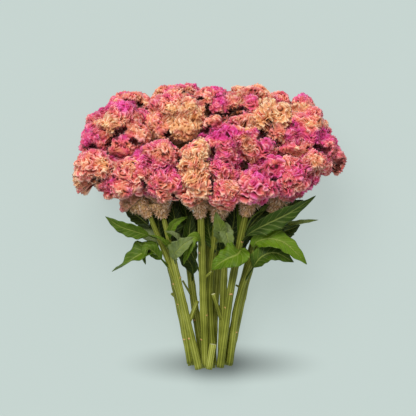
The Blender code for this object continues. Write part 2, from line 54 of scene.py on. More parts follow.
FLOOR_CLEARANCE = 0.0002          # no piece comes closer to the floor, in metres

# The heads before their folds. All lengths are in millimetres, unless their line says otherwise.
TOUCH_GAP = 0.3                   # between a head and another flower's stem or neck
LOBE_FULLNESS = 1.13              # lobes are this much larger than their rows say
LOBE_BLEND = 13                   # the higher, the sharper the valleys between lobes
CUT_BLEND = 16                    # the higher, the sharper the edges of the walls between heads
CORE_SHARE = 0.68                 # size of the core that fills a head between its lobes
ROOT_DEPTH = 8.0                  # how far above its collar a head's root lies
STALK_POINTS = 25                 # along a stem, where heads are cut clear of it
STALK_SEARCH = 95.0               # stems and necks further away don't press into a head
LEAST_REACH = 4.0                 # and none cuts it closer to its centre than this
HEAD_OVERLAP = 13.0               # how far neighbouring heads press into each other
WALL_EDGE = 6.0                   # a head is free where a wall between heads is this far off its surface
CREASE_DEPTH = 2.0                # how far lobes sink where they meet
CREASE_WIDTH = 4.0
NO_MEETING = 1e6                  # the reach of a ray that never meets a plane
LEAST_LEAN = 1e-6                 # a ray that leans less towards a plane never meets it

# How a ball's triangles are shared out over its head: most where they are seen
BALL_STEPS = 55
HIDDEN_BALL_STEPS = 40
FRONT_LEAN = 0.3                  # how far they first lean to the side that is seen
EVEN_ROUNDS = 14
EVEN_STEP = 0.6                   # the share of the way to its neighbours' middle that a point goes
WALL_PULL = 0.35                  # how strongly walls between heads draw points, next to 1 elsewhere
OUTWARD_PULL = 0.5                # and how much more strongly the side that is seen draws them

# Uneven swelling, knuckles and openings between heads, pushed in and darkened with painted shade
BROAD_SWELL = 3.0                 # how far a head swells and sinks, over long and over shorter spans
BROAD_SPAN = 38.0
SHORT_SWELL = 1.6
SHORT_SPAN = 19.0
SWELL_LIMITS = (-7, 6)
DRAW_IN = 3.0                     # how far a head's sides sink, so that the folds' tips reach its outline
KNUCKLE_SPACING = 15.0
KNUCKLE_CLOSENESS = 0.8           # the least distance between two knuckles, in spacings
KNUCKLE_SIZES = (0.85, 1.2)
KNUCKLE_TRIES = 3000
KNUCKLE_MIDDLE = 0.75             # the part of a knuckle's height that lies below the even surface
CROWN_KNUCKLES = 1.8              # how far knuckles stand out on a crown and on a skirt
SKIRT_KNUCKLES = 4.2
GAP_DEPTH = 16.0                  # how far the openings between heads go in; they are also darkened with painted shade
GAP_ROUGHNESS = 0.2               # how uneven their edges are
GAP_ROUGH_SPAN = 7.0

# Folds of the combs
FINE_FOLDS = 8.0                  # wavelength of the tight folds on a comb's crown
WIDE_FOLDS = 9.5                  # and of the open ones on its skirt
SMALL_FOLDS = 0.62                # each fold is crossed by smaller ones, this much of its length
FINE_CROSSING = 0.8               # how strongly they cross the tight folds, and the open ones
WIDE_CROSSING = 0.5
FOLD_WAVES = 18
WAVE_SPREAD = 0.25                # how unlike each other the lengths of the waves are
CRUMPLE = 2.5                     # how far the folds are pushed about, and over what length
CRUMPLE_LENGTH = 18.0
FINE_DEPTH = 3.6
WIDE_DEPTH = 6.5
WALL_RELIEF = 0.4                 # height of folds and swelling on walls between heads, next to 1 elsewhere
LIP_SHARPNESS = 1.5               # 1 would leave the lips as broad as the pits
FOLD_SEAT = 0.45                  # the part of a fold's height that lies below the even surface
TIGHT_LEVEL = 0.75                # folds are tight above this level of a lobe, 1 at its crown,
OPEN_LEVEL = 0.25                 # and open below this one
LEVEL_DRIFT = 0.25                # how uneven the line between the two is
LEVEL_SPAN = 40.0
# Heads whose open folds are longer and deeper, by this factor
OPEN_FOLDS = {"right_middle_front": 1.4, "middle_tall": 1.15, "right_middle_back": 1.4}

# Colours of the combs
COLOUR_FALLOFF = 6                # the higher, the less a lobe's colour reaches into the next one
SKIRT_COLOUR = 0.1                # the skirt's colour ends here, in half heights above a lobe's middle,
CROWN_COLOUR = 0.85               # and the crown's is reached here
SKIRT_LEVEL = -0.7                # likewise for its level
CROWN_LEVEL = 0.5
BROAD_DRIFT = 0.10                # how far colours drift, over long and over short spans
SHORT_DRIFT = 0.09
SHORT_DRIFT_SPAN = 11.0
HUSK_FULL = 1.2                   # tan up to here, in neck radii from the collar,
HUSK_END = 2.1                    # and not at all from here on
KNUCKLE_SHADE = 0.25              # how much painted shade darkens the comb between knuckles, in creases and on walls between heads
CREASE_SHADE = 0.3
WALL_SHADE = 0.12
# Each comb finish, and how much yellower it is than its lobes' rows say
WARMTHS = {"comb_magenta": -0.03, "comb_coral": 0.0, "comb_salmon": 0.02, "comb_peach": 0.05}

# Stems and necks
STEM_RADIUS_FOOT = 5.3
STEM_RADIUS_TOP = 4.7
STEM_FULLNESS = 1.04              # makes up for the ribs, which are cut into the stem
STEM_RINGS = 44
STEM_SIDES = 36
STEM_RIBS = 9
RIB_DEPTH = 0.09                  # as a share of the radius
RIB_DRIFT = 0.8                   # how unevenly the ribs stand round a stem
CUT_RINGS = (0.12, 0.55, 0.86)    # rings on a cut face, as shares of its radius
CURVE_STEPS = 12
BARE_KNOTS = 4                    # swellings of a stem that have no scar
KNOT_SWELL = 0.10                 # as a share of the radius
KNOT_LENGTH = 0.018               # as a share of the stem's length
STEM_WAVER = 0.03
TWIG_TAPER = 0.12
NECK_STEP = 0.6                   # how much thicker a neck starts than its stem
NECK_FLARE = 1.4                  # 1 would make a neck a straight cone
NECK_RINGS = 12
NECK_SIDES = 28
BRACTS = 300
BRACT_SINK = 0.6                  # how deep a bract's root is in the neck
BRACT_LENGTHS = (3.5, 6.5)
BRACT_WIDTHS = (1.0, 2.0)         # half of them
COLLAR_BRACTS = 3.0               # how much longer bracts are at the collar

# Leaves
PETIOLE_RADIUS = 1.0              # from its middle to its edge
SEAT_POINTS = 9                   # along a stem, between which leaves are seated
SEAT_DEPTH = 0.5                  # how deep a petiole is in its stem
BLADE_THICKNESS = 0.5
PETIOLE_EXTRA = 1.5               # how much thicker the petiole is
BLADE_MIDDLE = 0.75               # 1 would put the widest place in the blade's middle, less comes before it
BLADE_FULLNESS = 0.9              # the lower, the fuller the blade
TIP_HALF_WIDTH = 0.12
EDGE_TEETH = 38                   # radians of the blade's uneven edge, and of its waves, from seat to tip
EDGE_DEPTH = 0.07
LONG_WAVES = 9
SHORT_WAVES = 31
SIDE_VEINS = 9                    # pairs of them along a blade
VEIN_LEAN = 1.6                   # how far they run on towards the tip, in vein spacings
PUCKER = 0.8                      # how far the blade rises between its veins

# Light and camera
FLOOR_REACH = 6.0                 # in metres, as are the painted shadow, the photo's field and the sight
FLOOR_GLOW = 1.0
PAINTED_SHADOW_PLACE = (0.018, -0.19, 0.0)   # the floor's painted contact shadow at the stem feet
PAINTED_SHADOW_SIZE = (0.16, 0.034, 1.0)
PAINTED_SHADOW_STRENGTH = 0.9
SKY_COLOUR = (0.95, 0.98, 1.0, 1)
SKY_STRENGTH = 0.55
KEY_FROM = (-0.25, 0.42, 0.88)    # the main light comes from the upper left, seen from the camera
KEY_COLOUR = (1.0, 0.98, 0.96)
KEY_STRENGTH = 2.7
KEY_SOFTNESS = math.radians(45)
PHOTO_FIELD = 0.5824              # what the photo shows from side to side at the bunch
PHOTO_MIDDLE = (0.0, -35.0, 226.8)   # on the standing bunch, in millimetres
LENS = 180.0                      # a long one, because the photo shows hardly any perspective
SENSOR = 36.0
SIGHT = 50.0                      # how far the camera sees

Lobe = namedtuple("Lobe", "across back up half_wide half_deep half_high crown skirt")
Flower = namedtuple("Flower", "foot way neck collar neck_radius outward slot lobes")
Leaf = namedtuple("Leaf", "start path petiole half_width cup wave facing tone twist", defaults=[0])

# Crown and skirt are a lobe's colour at its top and below: 0 yellow peach, 0.5 coral, 1 magenta.
FLOWERS = {
    "left_front": Flower(
        (-23, -8.5, 0), (-43.5, -22, 116), (-81, -38, 215), (-99, -41, 236),
        14, (-0.7, -0.7, 0.1), "comb_coral",
        [Lobe(-153, -46, 285, 31, 32, 25, 0.62, 0.4), Lobe(-117, -54, 256, 27, 27, 18, 0.6, 0.48),
         Lobe(-112, -50, 276, 26, 28, 24, 0.5, 0.3), Lobe(-175, -44, 264, 10, 17, 13, 0.4, 0.3)]),
    "left_middle_front": Flower(
        (-13, -16.5, 0), (-40, -30, 119), (-62, -42, 213), (-68, -45, 235),
        14, (-0.2, -0.95, 0.1), "comb_magenta",
        [Lobe(-92, -56, 276, 27, 27, 27, 0.85, 0.6), Lobe(-62, -62, 260, 28, 27, 26, 0.9, 0.5),
         Lobe(-63, -50, 302, 30, 30, 20, 0.75, 0.45)]),
    "middle_tall": Flower(
        (-3.5, -7, 0), (-7, -26, 110), (-10, -44, 214), (-14, -50, 236),
        13, (-0.1, -0.98, 0.1), "comb_peach",
        [Lobe(-17, -64, 262, 24, 27, 29, 0.15, 0.3), Lobe(-17, -60, 292, 24, 28, 27, 0.3, 0.12)]),
    "middle_low": Flower(
        (7.5, -6, 0), (2, -13, 110), (12, -36, 206), (17, -44, 229),
        12, (0.1, -0.98, 0.0), "comb_coral",
        [Lobe(21, -62, 251, 23, 26, 26, 0.75, 0.55), Lobe(22, -56, 274, 23, 27, 22, 0.9, 0.6)]),
    "right_middle_front": Flower(
        (17, -16.5, 0), (33.5, -32, 122), (52, -43, 215), (58, -46, 237),
        14, (0.15, -0.95, 0.1), "comb_magenta",
        [Lobe(68, -62, 258, 26, 28, 25, 0.86, 0.68), Lobe(90, -52, 283, 24, 30, 20, 1.0, 0.75)]),
    "right_front": Flower(
        (29, -9.5, 0), (45.5, -20, 108), (89, -38, 220), (98, -42, 242),
        14, (0.6, -0.75, 0.1), "comb_salmon",
        [Lobe(117, -54, 271, 28, 29, 27, 0.5, 0.7), Lobe(150, -40, 291, 20, 30, 20, 0.95, 0.5)]),
    "left_back": Flower(
        (-17, 1.5, 0), (-51, -2, 150), (-102, 0, 272), (-111, 0, 293),
        14, (-0.6, -0.25, 0.7), "comb_magenta",
        [Lobe(-157, -30, 319, 21, 34, 23, 0.92, 0.76), Lobe(-116, -42, 312, 24, 28, 18, 0.75, 0.5),
         Lobe(-138, -24, 339, 23, 34, 21, 0.3, 0.12), Lobe(-103, -28, 331, 22, 32, 22, 0.5, 0.32),
         Lobe(-142, -4, 346, 24, 36, 22, 0.95, 0.5), Lobe(-106, -8, 349, 25, 36, 22, 1.0, 0.5),
         Lobe(-108, 18, 368, 29, 34, 24, 0.55, 0.25)]),
    "left_middle_back": Flower(
        (-6, 4, 0), (-27, 3, 150), (-41, 0, 296), (-45, 0, 317),
        13, (-0.1, -0.3, 0.9), "comb_salmon",
        [Lobe(-67, -22, 339, 21, 33, 24, 0.4, 0.3), Lobe(-32, -30, 338, 24, 28, 22, 0.4, 0.15),
         Lobe(-66, 0, 366, 22, 34, 20, 0.65, 0.5), Lobe(-27, -20, 358, 26, 34, 26, 0.5, 0.02),
         Lobe(-5, -2, 376, 19, 30, 18, 0.5, 0.4), Lobe(-38, 18, 381, 34, 36, 21, 0.68, 0.1)]),
    "centre": Flower(
        (18.5, -4, 0), (22.5, -8, 130), (31, -8, 260), (35, -13, 281),
        12, (0.0, -0.9, 0.4), "comb_magenta",
        [Lobe(15, -50, 307, 31, 30, 27, 1.02, 0.72), Lobe(60, -38, 318, 23, 30, 18, 0.95, 0.35),
         Lobe(75, -44, 307, 24, 28, 18, 0.8, 0.5), Lobe(8, -24, 342, 18, 30, 18, 0.6, 0.5),
         Lobe(44, -22, 342, 26, 34, 19, 0.5, 0.32)]),
    "top": Flower(
        (5, 5.5, 0), (15, 9, 160), (32, 15, 324), (35, 17, 345),
        12, (0.0, -0.1, 1.0), "comb_salmon",
        [Lobe(14, 12, 378, 18, 30, 18, 0.95, 0.8), Lobe(55, 22, 378, 29, 36, 23, 0.3, 0.18),
         Lobe(18, -6, 364, 17, 28, 18, 0.9, 0.6), Lobe(37, 2, 372, 20, 30, 18, 0.45, 0.35),
         Lobe(62, -4, 368, 18, 30, 20, 0.9, 0.6)]),
    "right_middle_back": Flower(
        (16.5, 7.5, 0), (40, 8, 150), (82, 4, 298), (88, 4, 319),
        12, (0.2, -0.4, 0.9), "comb_peach",
        [Lobe(90, -16, 352, 33, 38, 24, 0.15, 0.05), Lobe(98, 14, 370, 22, 32, 19, 0.55, 0.45),
         Lobe(95, -30, 331, 19, 28, 16, 0.7, 0.3)]),
    "right_back": Flower(
        (27.5, 2.5, 0), (62, 2, 150), (116, 0, 268), (126, -2, 289),
        14, (0.75, -0.2, 0.6), "comb_coral",
        [Lobe(126, 14, 367, 23, 34, 20, 0.9, 0.2), Lobe(139, -8, 343, 23, 38, 19, 0.6, 0.12),
         Lobe(120, -28, 329, 22, 30, 17, 1.0, 0.75), Lobe(126, -38, 304, 27, 28, 20, 0.7, 0.5),
         Lobe(156, -22, 309, 23, 36, 25, 1.0, 0.75), Lobe(180, -22, 295, 9, 24, 20, 0.75, 0.5)]),
    "under_left": Flower(
        (-22.5, 12, 0), (-48, 22, 120), (-76, 34, 225), (-85, 40, 246),
        14, (-0.4, 0.9, 0.1), "comb_coral",
        [Lobe(-141, 48, 274, 24, 28, 22, 0.6, 0.4), Lobe(-110, 56, 264, 27, 22, 22, 0.7, 0.3),
         Lobe(-74, 58, 278, 24, 22, 22, 0.5, 0.4), Lobe(-148, 48, 308, 25, 34, 24, 0.8, 0.5),
         Lobe(-113, 62, 310, 28, 24, 26, 0.4, 0.2), Lobe(-72, 62, 318, 26, 25, 24, 0.6, 0.5),
         Lobe(-126, 52, 342, 30, 34, 24, 0.7, 0.4), Lobe(-84, 54, 346, 26, 34, 22, 0.5, 0.3)]),
    "under_middle": Flower(
        (-0.5, 16, 0), (-1, 28, 120), (1, 36, 222), (2, 42, 243),
        14, (0.0, 1.0, 0.1), "comb_salmon",
        [Lobe(-38, 56, 268, 26, 24, 22, 0.4, 0.2), Lobe(1, 60, 262, 25, 20, 22, 0.5, 0.3),
         Lobe(40, 56, 272, 26, 24, 22, 0.7, 0.4), Lobe(-38, 60, 302, 28, 25, 24, 0.3, 0.2),
         Lobe(5, 64, 300, 25, 22, 24, 0.6, 0.4), Lobe(43, 60, 308, 27, 26, 24, 0.5, 0.3),
         Lobe(-20, 62, 338, 28, 30, 24, 0.8, 0.4), Lobe(26, 60, 342, 28, 32, 24, 0.4, 0.2)]),
    "under_right": Flower(
        (24.5, 15.5, 0), (50, 25, 120), (78, 35, 225), (86, 41, 246),
        14, (0.4, 0.9, 0.1), "comb_magenta",
        [Lobe(80, 58, 276, 24, 22, 22, 0.8, 0.6), Lobe(114, 56, 266, 27, 22, 23, 0.9, 0.6),
         Lobe(138, 46, 284, 22, 30, 20, 0.7, 0.5), Lobe(82, 62, 316, 27, 25, 25, 0.9, 0.7),
         Lobe(121, 60, 306, 28, 25, 24, 0.6, 0.4), Lobe(146, 46, 314, 24, 36, 24, 0.9, 0.6),
         Lobe(96, 56, 346, 27, 33, 22, 0.7, 0.4), Lobe(134, 50, 340, 28, 36, 24, 0.9, 0.7)]),
}

# Openings between heads, seen from the front, pushed in and darkened with painted shade: across, up, half
# width, half height, lean in degrees
GAPS = [
    (-127, 329, 12.6, 4.5, 42), (-138, 312, 3.1, 6.3, 0), (-101, 318, 7.0, 2.8, -15),
    (-97, 374, 6.3, 2.2, -12), (-57, 330, 4.2, 4.5, 0), (-42, 314, 5.6, 7.0, 15),
    (-7, 330, 11.2, 4.2, 52), (-41, 290, 2.2, 8.4, 0), (-153, 268, 4.9, 4.2, 0),
    (-31, 388, 5.0, 2.5, -15), (-14, 382, 5.6, 2.5, 30), (0, 368, 2.5, 4.9, 0), (5, 302, 4.2, 9.1, -15),
    (75, 327, 5.9, 3.9, 20), (155, 308, 11.2, 5.0, -12), (118, 375, 2.8, 2.2, 0), (88, 344, 2.8, 2.8, 0),
    (34, 361, 11.2, 3.6, 22), (13, 356, 8.4, 2.8, 0), (43, 285, 3.5, 4.9, 0), (93, 267, 6.3, 3.6, 25),
    (181, 288, 3.6, 7.7, -20), (4, 260, 2.0, 14.0, 0), (96, 315, 3.9, 4.2, 0), (49, 365, 3.9, 4.2, 0),
    (-87, 258, 3.5, 7.0, 10), (-44, 242, 3.5, 4.9, 0), (-164, 312, 11.2, 2.2, -5),
]

# A stem that was cut short near its foot, in front of the others
STUB_FOOT = (1.4, -15.9, 0)
STUB_TOP = (7.2, -20.5, 35)
STUB_RADIUS = 5.0

# Stems cut a little short at the foot, and stems that thin towards the top, by this share
SHORT_FEET = {
    "left_front": 8, "middle_tall": 3, "middle_low": 5, "right_middle_front": 3, "right_front": 6,
    "left_back": 5, "centre": 7, "right_back": 4, "under_left": 3, "under_right": 6}
THIN_TOPS = {
    "left_front": 0.3, "left_middle_front": 0.32, "right_front": 0.2, "left_back": 0.2, "centre": 0.15}

# Side shoots and cut twigs: stem, place along it (0 foot, 1 top), direction, length, radius
SIDE_SHOOTS = [
    ("centre", 0.24, (-0.28, -0.36, 0.88), 40, 3.4),
    ("left_middle_front", 0.32, (0.36, 0.3, 0.88), 30, 3.4),
    ("left_middle_back", 0.34, (-0.45, -0.4, 0.8), 30, 1.6),
    ("middle_tall", 0.59, (0.7, -0.3, 0.7), 13, 1.6),
    ("right_front", 0.5, (-0.8, -0.4, 0.45), 5, 1.5),
    ("left_back", 0.30, (-0.9, 0.1, 0.4), 6, 2.0),
    ("under_left", 0.42, (-0.7, 0.3, 0.6), 8, 2.2),
]

# Scars where leaves broke off: stem, place along it, and the side they are on (across, back)
SCARS = [
    ("left_front", 0.54, (-0.9, -0.4)), ("left_front", 0.40, (-0.9, -0.2)),
    ("left_front", 0.17, (-0.8, -0.6)), ("left_middle_front", 0.22, (-0.8, -0.6)),
    ("left_middle_front", 0.62, (0.9, -0.3)), ("middle_tall", 0.36, (0.8, -0.6)),
    ("middle_tall", 0.79, (-0.8, -0.6)), ("middle_tall", 0.19, (-0.9, -0.4)),
    ("right_middle_front", 0.40, (-0.8, -0.5)), ("right_middle_front", 0.50, (0.3, -0.95)),
    ("right_middle_front", 0.86, (0.7, -0.7)), ("right_front", 0.22, (0.9, -0.3)),
    ("right_front", 0.64, (0.8, 0.3)), ("centre", 0.3, (0.7, -0.7)), ("left_back", 0.5, (-0.9, -0.2)),
    ("left_middle_back", 0.25, (-0.7, -0.7)), ("right_back", 0.35, (0.9, 0.2)),
    ("under_middle", 0.4, (0.3, 0.9)), ("under_left", 0.6, (-0.3, 0.9)), ("under_right", 0.5, (0.4, 0.9)),
]
SCAR_STEPS = 4                    # how finely a scar's surface is split
SCAR_WIDTHS = (2.0, 3.0)          # half its width, and half its height
SCAR_HEIGHTS = (1.0, 1.8)
SCAR_SINK = 0.6                   # how deep its middle is in the skin
SCAR_STAND = 1.5                  # how far it stands out from there
SCAR_TILT = 0.5                   # and how much further at its lower edge
SCAR_SAG = 0.8                    # how far its ends hang down

# Tone is a leaf's colour: 0 deep green, 0.6 bright green, 1 grey green. Twist is in degrees from seat to tip.
LEAVES = {
    "left_long": Leaf(
        ("left_front", 0.86), [(-88, -44, 190), (-104, -50, 195), (-124, -52, 202), (-143, -52, 215)],
        0.18, 9, 0.3, 1.6, (0.25, -0.85, -0.45), 0.42, 20),
    "left_folded": Leaf(
        ("left_front", 0.66),
        [(-76, -38, 166), (-88, -44, 165), (-104, -48, 156), (-118, -50, 146), (-134, -46, 138)],
        0.24, 16, 0.4, 3.4, (0.1, -0.85, 0.5), 0.45, 60),
    "left_high": Leaf(
        ("left_front", 0.90), [(-88, -24, 206), (-100, -14, 216), (-112, -8, 225), (-124, -4, 233)],
        0.2, 10, 0.25, 2.2, (-0.2, -0.9, 0.3), 0.12, -20),
    "left_leaflet": Leaf(
        ("left_middle_front", 0.84), [(-48, -34, 188), (-46, -30, 204), (-48, -28, 218), (-52, -26, 234)],
        0.15, 11, 0.25, 2.0, (0.3, -0.9, 0.1), 0.08),
    "left_twisted": Leaf(
        ("left_middle_front", 0.70), [(-46, -48, 162), (-40, -58, 170), (-30, -60, 179), (-18, -56, 186)],
        0.12, 11, 0.5, 2.4, (-0.4, -0.8, 0.5), 0.92, 40),
    "middle_small": Leaf(
        ("middle_tall", 0.82),
        [(-14, -54, 184), (-21, -58, 184), (-27, -56, 172), (-30, -54, 160), (-34, -50, 148)],
        0.15, 7, 0.4, 1.6, (0.2, -0.9, 0.3), 0.62, 40),
    "middle_dark": Leaf(
        ("middle_tall", 0.64), [(-18, -30, 152), (-26, -28, 172), (-26, -26, 198), (-22, -24, 222)],
        0.2, 11, 0.25, 2.0, (0.3, -0.9, 0.2), 0.1),
    "front_crinkled": Leaf(
        ("right_middle_front", 0.78),
        [(45, -52, 168), (40, -62, 162), (28, -65, 157), (16, -62, 150), (5, -56, 141)],
        0.08, 17, 0.3, 4.6, (0.15, -0.9, 0.4), 0.45, 15),
    "right_large": Leaf(
        ("right_middle_front", 0.84), [(58, -54, 192), (84, -60, 206), (114, -60, 221), (150, -54, 244)],
        0.12, 12.5, 0.3, 3.0, (-0.2, -0.85, -0.45), 0.2, 15),
    "right_light": Leaf(
        ("right_front", 0.74),
        [(66, -44, 178), (84, -52, 184), (105, -54, 179), (123, -52, 164), (138, -46, 148)],
        0.1, 14, 0.15, 2.8, (0.1, -0.9, 0.35), 0.6, -10),
    "right_low": Leaf(
        ("right_front", 0.56), [(60, -34, 138), (74, -42, 158), (94, -44, 164), (120, -40, 151)],
        0.26, 13.5, 0.3, 1.8, (0.0, -0.8, 0.6), 0.3, 20),
    "right_dark": Leaf(
        ("right_front", 0.82), [(86, -24, 190), (102, -20, 193), (116, -18, 197), (130, -16, 203)],
        0.14, 13, 0.25, 3.0, (0.1, -0.9, 0.2), 0.12, 10),
    "middle_pale": Leaf(
        ("middle_low", 0.86), [(17, -42, 184), (17, -52, 198), (13, -56, 212), (11, -54, 222)],
        0.15, 9, 0.3, 1.4, (-0.1, -0.95, 0.1), 0.9),
    "under_long": Leaf(
        ("under_right", 0.78), [(84, 36, 186), (98, 40, 192), (112, 40, 192), (124, 36, 188)],
        0.2, 12, 0.3, 2.2, (0.0, 0.8, 0.5), 0.5),
}

# Leaves that only the looks have: small ones in front, and dark ones behind the front stems
SMALL_LEAVES = {
    "left_lobe": Leaf(
        ("left_front", 0.68), [(-82, -44, 170), (-88, -48, 162), (-87, -48, 148)],
        0.2, 8, 0.4, 2.0, (-0.2, -0.9, 0.3), 0.45, 30),
    "left_pale": Leaf(
        ("left_front", 0.80), [(-84, -22, 190), (-92, -14, 200), (-99, -10, 213)],
        0.15, 9, 0.25, 1.4, (0.1, -0.9, 0.2), 1.0),
    "left_strip": Leaf(
        ("left_middle_front", 0.76), [(-54, -42, 172), (-64, -46, 182), (-80, -46, 189)],
        0.15, 4, 0.4, 1.0, (0.1, -0.9, 0.4), 0.45, 40),
    "left_curled": Leaf(
        ("left_middle_front", 0.86), [(-52, -48, 194), (-47, -54, 205), (-38, -56, 211), (-28, -52, 215)],
        0.1, 5, 0.6, 1.2, (-0.3, -0.9, 0.3), 0.66, 60),
    "left_grey_tip": Leaf(
        ("left_middle_front", 0.80), [(-40, -52, 178), (-47, -58, 189), (-60, -56, 195)],
        0.1, 6, 0.4, 1.6, (0.2, -0.9, 0.3), 0.97, 50),
    "middle_hanging": Leaf(
        ("middle_low", 0.94), [(22, -48, 198), (27, -52, 186), (32, -50, 164)],
        0.1, 9, 0.3, 1.6, (0.3, -0.9, 0.0), 0.88, 20),
    "middle_strip": Leaf(
        ("right_middle_front", 0.82), [(44, -34, 190), (43, -36, 212), (40, -34, 233)],
        0.1, 3.5, 0.4, 0.8, (0.3, -0.9, 0.0), 0.7, 20),
    "right_thin": Leaf(
        ("right_middle_front", 0.90), [(60, -48, 212), (72, -48, 222), (86, -44, 232)],
        0.7, 2, 0.3, 0.4, (0.0, -0.9, 0.3), 0.8),
    "right_slender": Leaf(
        ("right_front", 0.86), [(96, -32, 198), (120, -32, 205), (138, -30, 208), (155, -28, 210)],
        0.3, 3, 0.5, 1.0, (0.0, -0.7, 0.7), 0.85, 30),
    "right_loop": Leaf(
        ("right_front", 0.94), [(100, -42, 228), (108, -48, 238), (118, -50, 240), (126, -46, 231)],
        0.2, 4, 0.5, 1.0, (0.0, -0.8, 0.5), 0.3, 60),
    "right_upper": Leaf(
        ("right_front", 0.90), [(96, -34, 214), (110, -34, 224), (124, -34, 234), (134, -32, 238)],
        0.15, 7, 0.3, 2.0, (0.1, -0.9, 0.1), 0.15, -20),
    "right_below": Leaf(
        ("right_front", 0.78), [(76, -36, 186), (88, -40, 196), (102, -40, 201), (116, -36, 200)],
        0.12, 13, 0.25, 3.0, (0.1, -0.9, 0.1), 0.16, 20),
    "right_inner": Leaf(
        ("right_middle_front", 0.88), [(58, -36, 200), (68, -34, 212), (80, -32, 224), (92, -30, 240)],
        0.12, 12, 0.25, 2.6, (-0.2, -0.9, 0.1), 0.1, -20),
    "middle_dark_2": Leaf(
        ("middle_low", 0.8), [(10, -30, 166), (4, -28, 182), (0, -28, 200), (0, -26, 222)],
        0.12, 10, 0.25, 2.2, (0.2, -0.9, 0.1), 0.12, 20),
    "behind_1": Leaf(
        ("left_back", 0.62), [(-64, -8, 182), (-70, -12, 200), (-68, -14, 218), (-62, -12, 238)],
        0.12, 13, 0.2, 2.4, (0.2, -0.95, 0.1), 0.06, 20),
    "behind_2": Leaf(
        ("left_middle_back", 0.5), [(-28, -8, 162), (-38, -12, 184), (-46, -14, 208), (-46, -14, 252)],
        0.12, 14, 0.2, 2.6, (-0.2, -0.95, 0.1), 0.03, -20),
    "behind_3": Leaf(
        ("left_middle_back", 0.55), [(-24, -6, 172), (-26, -10, 194), (-31, -12, 218), (-36, -12, 242)],
        0.12, 14, 0.2, 2.6, (0.2, -0.95, 0.1), 0.08, 20),
    "behind_4": Leaf(
        ("left_middle_back", 0.6), [(-18, -4, 188), (-12, -8, 206), (-9, -10, 224), (-10, -8, 244)],
        0.12, 12, 0.2, 2.2, (0.0, -0.95, 0.1), 0.05, 10),
    "behind_5": Leaf(
        ("centre", 0.6), [(17, -14, 172), (13, -20, 194), (13, -22, 215), (18, -20, 238)],
        0.12, 12, 0.2, 2.4, (0.2, -0.95, 0.1), 0.1, -15),
    "behind_6": Leaf(
        ("centre", 0.62), [(28, -12, 178), (34, -16, 196), (37, -18, 216), (34, -16, 240)],
        0.12, 13, 0.2, 2.4, (-0.2, -0.95, 0.1), 0.04, 15),
    "behind_7": Leaf(
        ("right_middle_back", 0.5), [(46, 4, 168), (46, -4, 190), (48, -8, 214), (50, -8, 240)],
        0.12, 12, 0.2, 2.4, (0.2, -0.95, 0.1), 0.03, 20),
    "behind_8": Leaf(
        ("right_middle_back", 0.58), [(58, 2, 188), (62, -4, 206), (66, -6, 225), (68, -4, 244)],
        0.12, 12, 0.2, 2.4, (0.0, -0.95, 0.1), 0.1, -20),
    "behind_9": Leaf(
        ("right_back", 0.64), [(80, -2, 190), (86, -8, 206), (94, -10, 222), (104, -8, 238)],
        0.12, 11, 0.2, 2.2, (0.1, -0.95, 0.1), 0.1, 15),
    "behind_11": Leaf(
        ("left_middle_back", 0.66), [(-30, -4, 196), (-36, -8, 214), (-40, -10, 232), (-42, -10, 252)],
        0.1, 15, 0.2, 2.2, (0.0, -0.95, 0.1), 0.05, 10),
    "behind_12": Leaf(
        ("centre", 0.68), [(30, -10, 196), (38, -14, 212), (41, -16, 230), (42, -14, 252)],
        0.1, 14, 0.2, 2.2, (0.1, -0.95, 0.1), 0.06, -10),
    "behind_10": Leaf(
        ("left_middle_back", 0.42), [(-22, -8, 142), (-30, -12, 156), (-36, -12, 172), (-38, -10, 190)],
        0.15, 10, 0.25, 2.0, (-0.2, -0.95, 0.2), 0.2, 25),
}


def lay_down(points):
    """From the standing bunch, in millimetres, to the frame, in metres."""
    across, back, up = np.asarray(points, float).T
    along = up * math.cos(STEM_RISE) + back * math.sin(STEM_RISE)
    above = up * math.sin(STEM_RISE) - back * math.cos(STEM_RISE)
    return (np.stack([across, along, above], 1) + FOOT_PLACE) * MILLIMETRE


def unit(vectors):
    return vectors / np.maximum(np.linalg.norm(vectors, axis=-1, keepdims=True), 1e-9)


def smooth_step(start, end, values):
    """A smooth rise from 0 at start to 1 at end. With start above end it falls instead."""
    t = np.clip((values - start) / (end - start), 0, 1)
    return t * t * (3 - 2 * t)


def make_piece(name, points, faces, finish, marks, replaced):
    """A piece of the bunch, with its marks as numbers on its points for the finish to read."""
    mesh = bpy.data.meshes.new(name)
    places = lay_down(points)
    places[:, 2] = np.maximum(places[:, 2], FLOOR_CLEARANCE)
    mesh.from_pydata(places.tolist(), [], faces)
    for mark, values in marks.items():
        mesh.attributes.new(mark, "FLOAT", "POINT").data.foreach_set("value", np.asarray(values, np.float32))
    mesh.materials.append(finish)
    mesh.shade_smooth()
    piece = bpy.data.objects.new(name, mesh)
    bpy.context.scene.collection.objects.link(piece)
    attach(piece, "root")
    if replaced:
        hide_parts(replaced)


# Finishes

class Value:
    """One output of a shader node. Sums and products of values add Math nodes."""

    def __init__(self, finish, socket):
        self.finish = finish
        self.socket = socket

    def maths(self, operation, *terms):
        return self.finish.node("ShaderNodeMath", {"operation": operation}, dict(enumerate(terms)))

    def __add__(self, other):
        return self.maths("ADD", self, other)

    def __sub__(self, other):
        return self.maths("SUBTRACT", self, other)

    def __rsub__(self, other):
        return self.maths("SUBTRACT", other, self)

    def __mul__(self, other):
        return self.maths("MULTIPLY", self, other)

    __radd__ = __add__
    __rmul__ = __mul__

    def size(self):
        return self.maths("ABSOLUTE", self)

    def remainder(self):
        return self.maths("FRACT", self)

    def swing(self, share):
        """A noise's rise and fall about its middle, times the share."""
        return (self - 0.5) * share

    def between(self, low, high):
        """0 below low, 1 above high and a smooth rise between them."""
        settings = {"interpolation_type": "SMOOTHSTEP"}
        inputs = {"Value": self, "From Min": low, "From Max": high}
        return self.finish.node("ShaderNodeMapRange", settings, inputs)


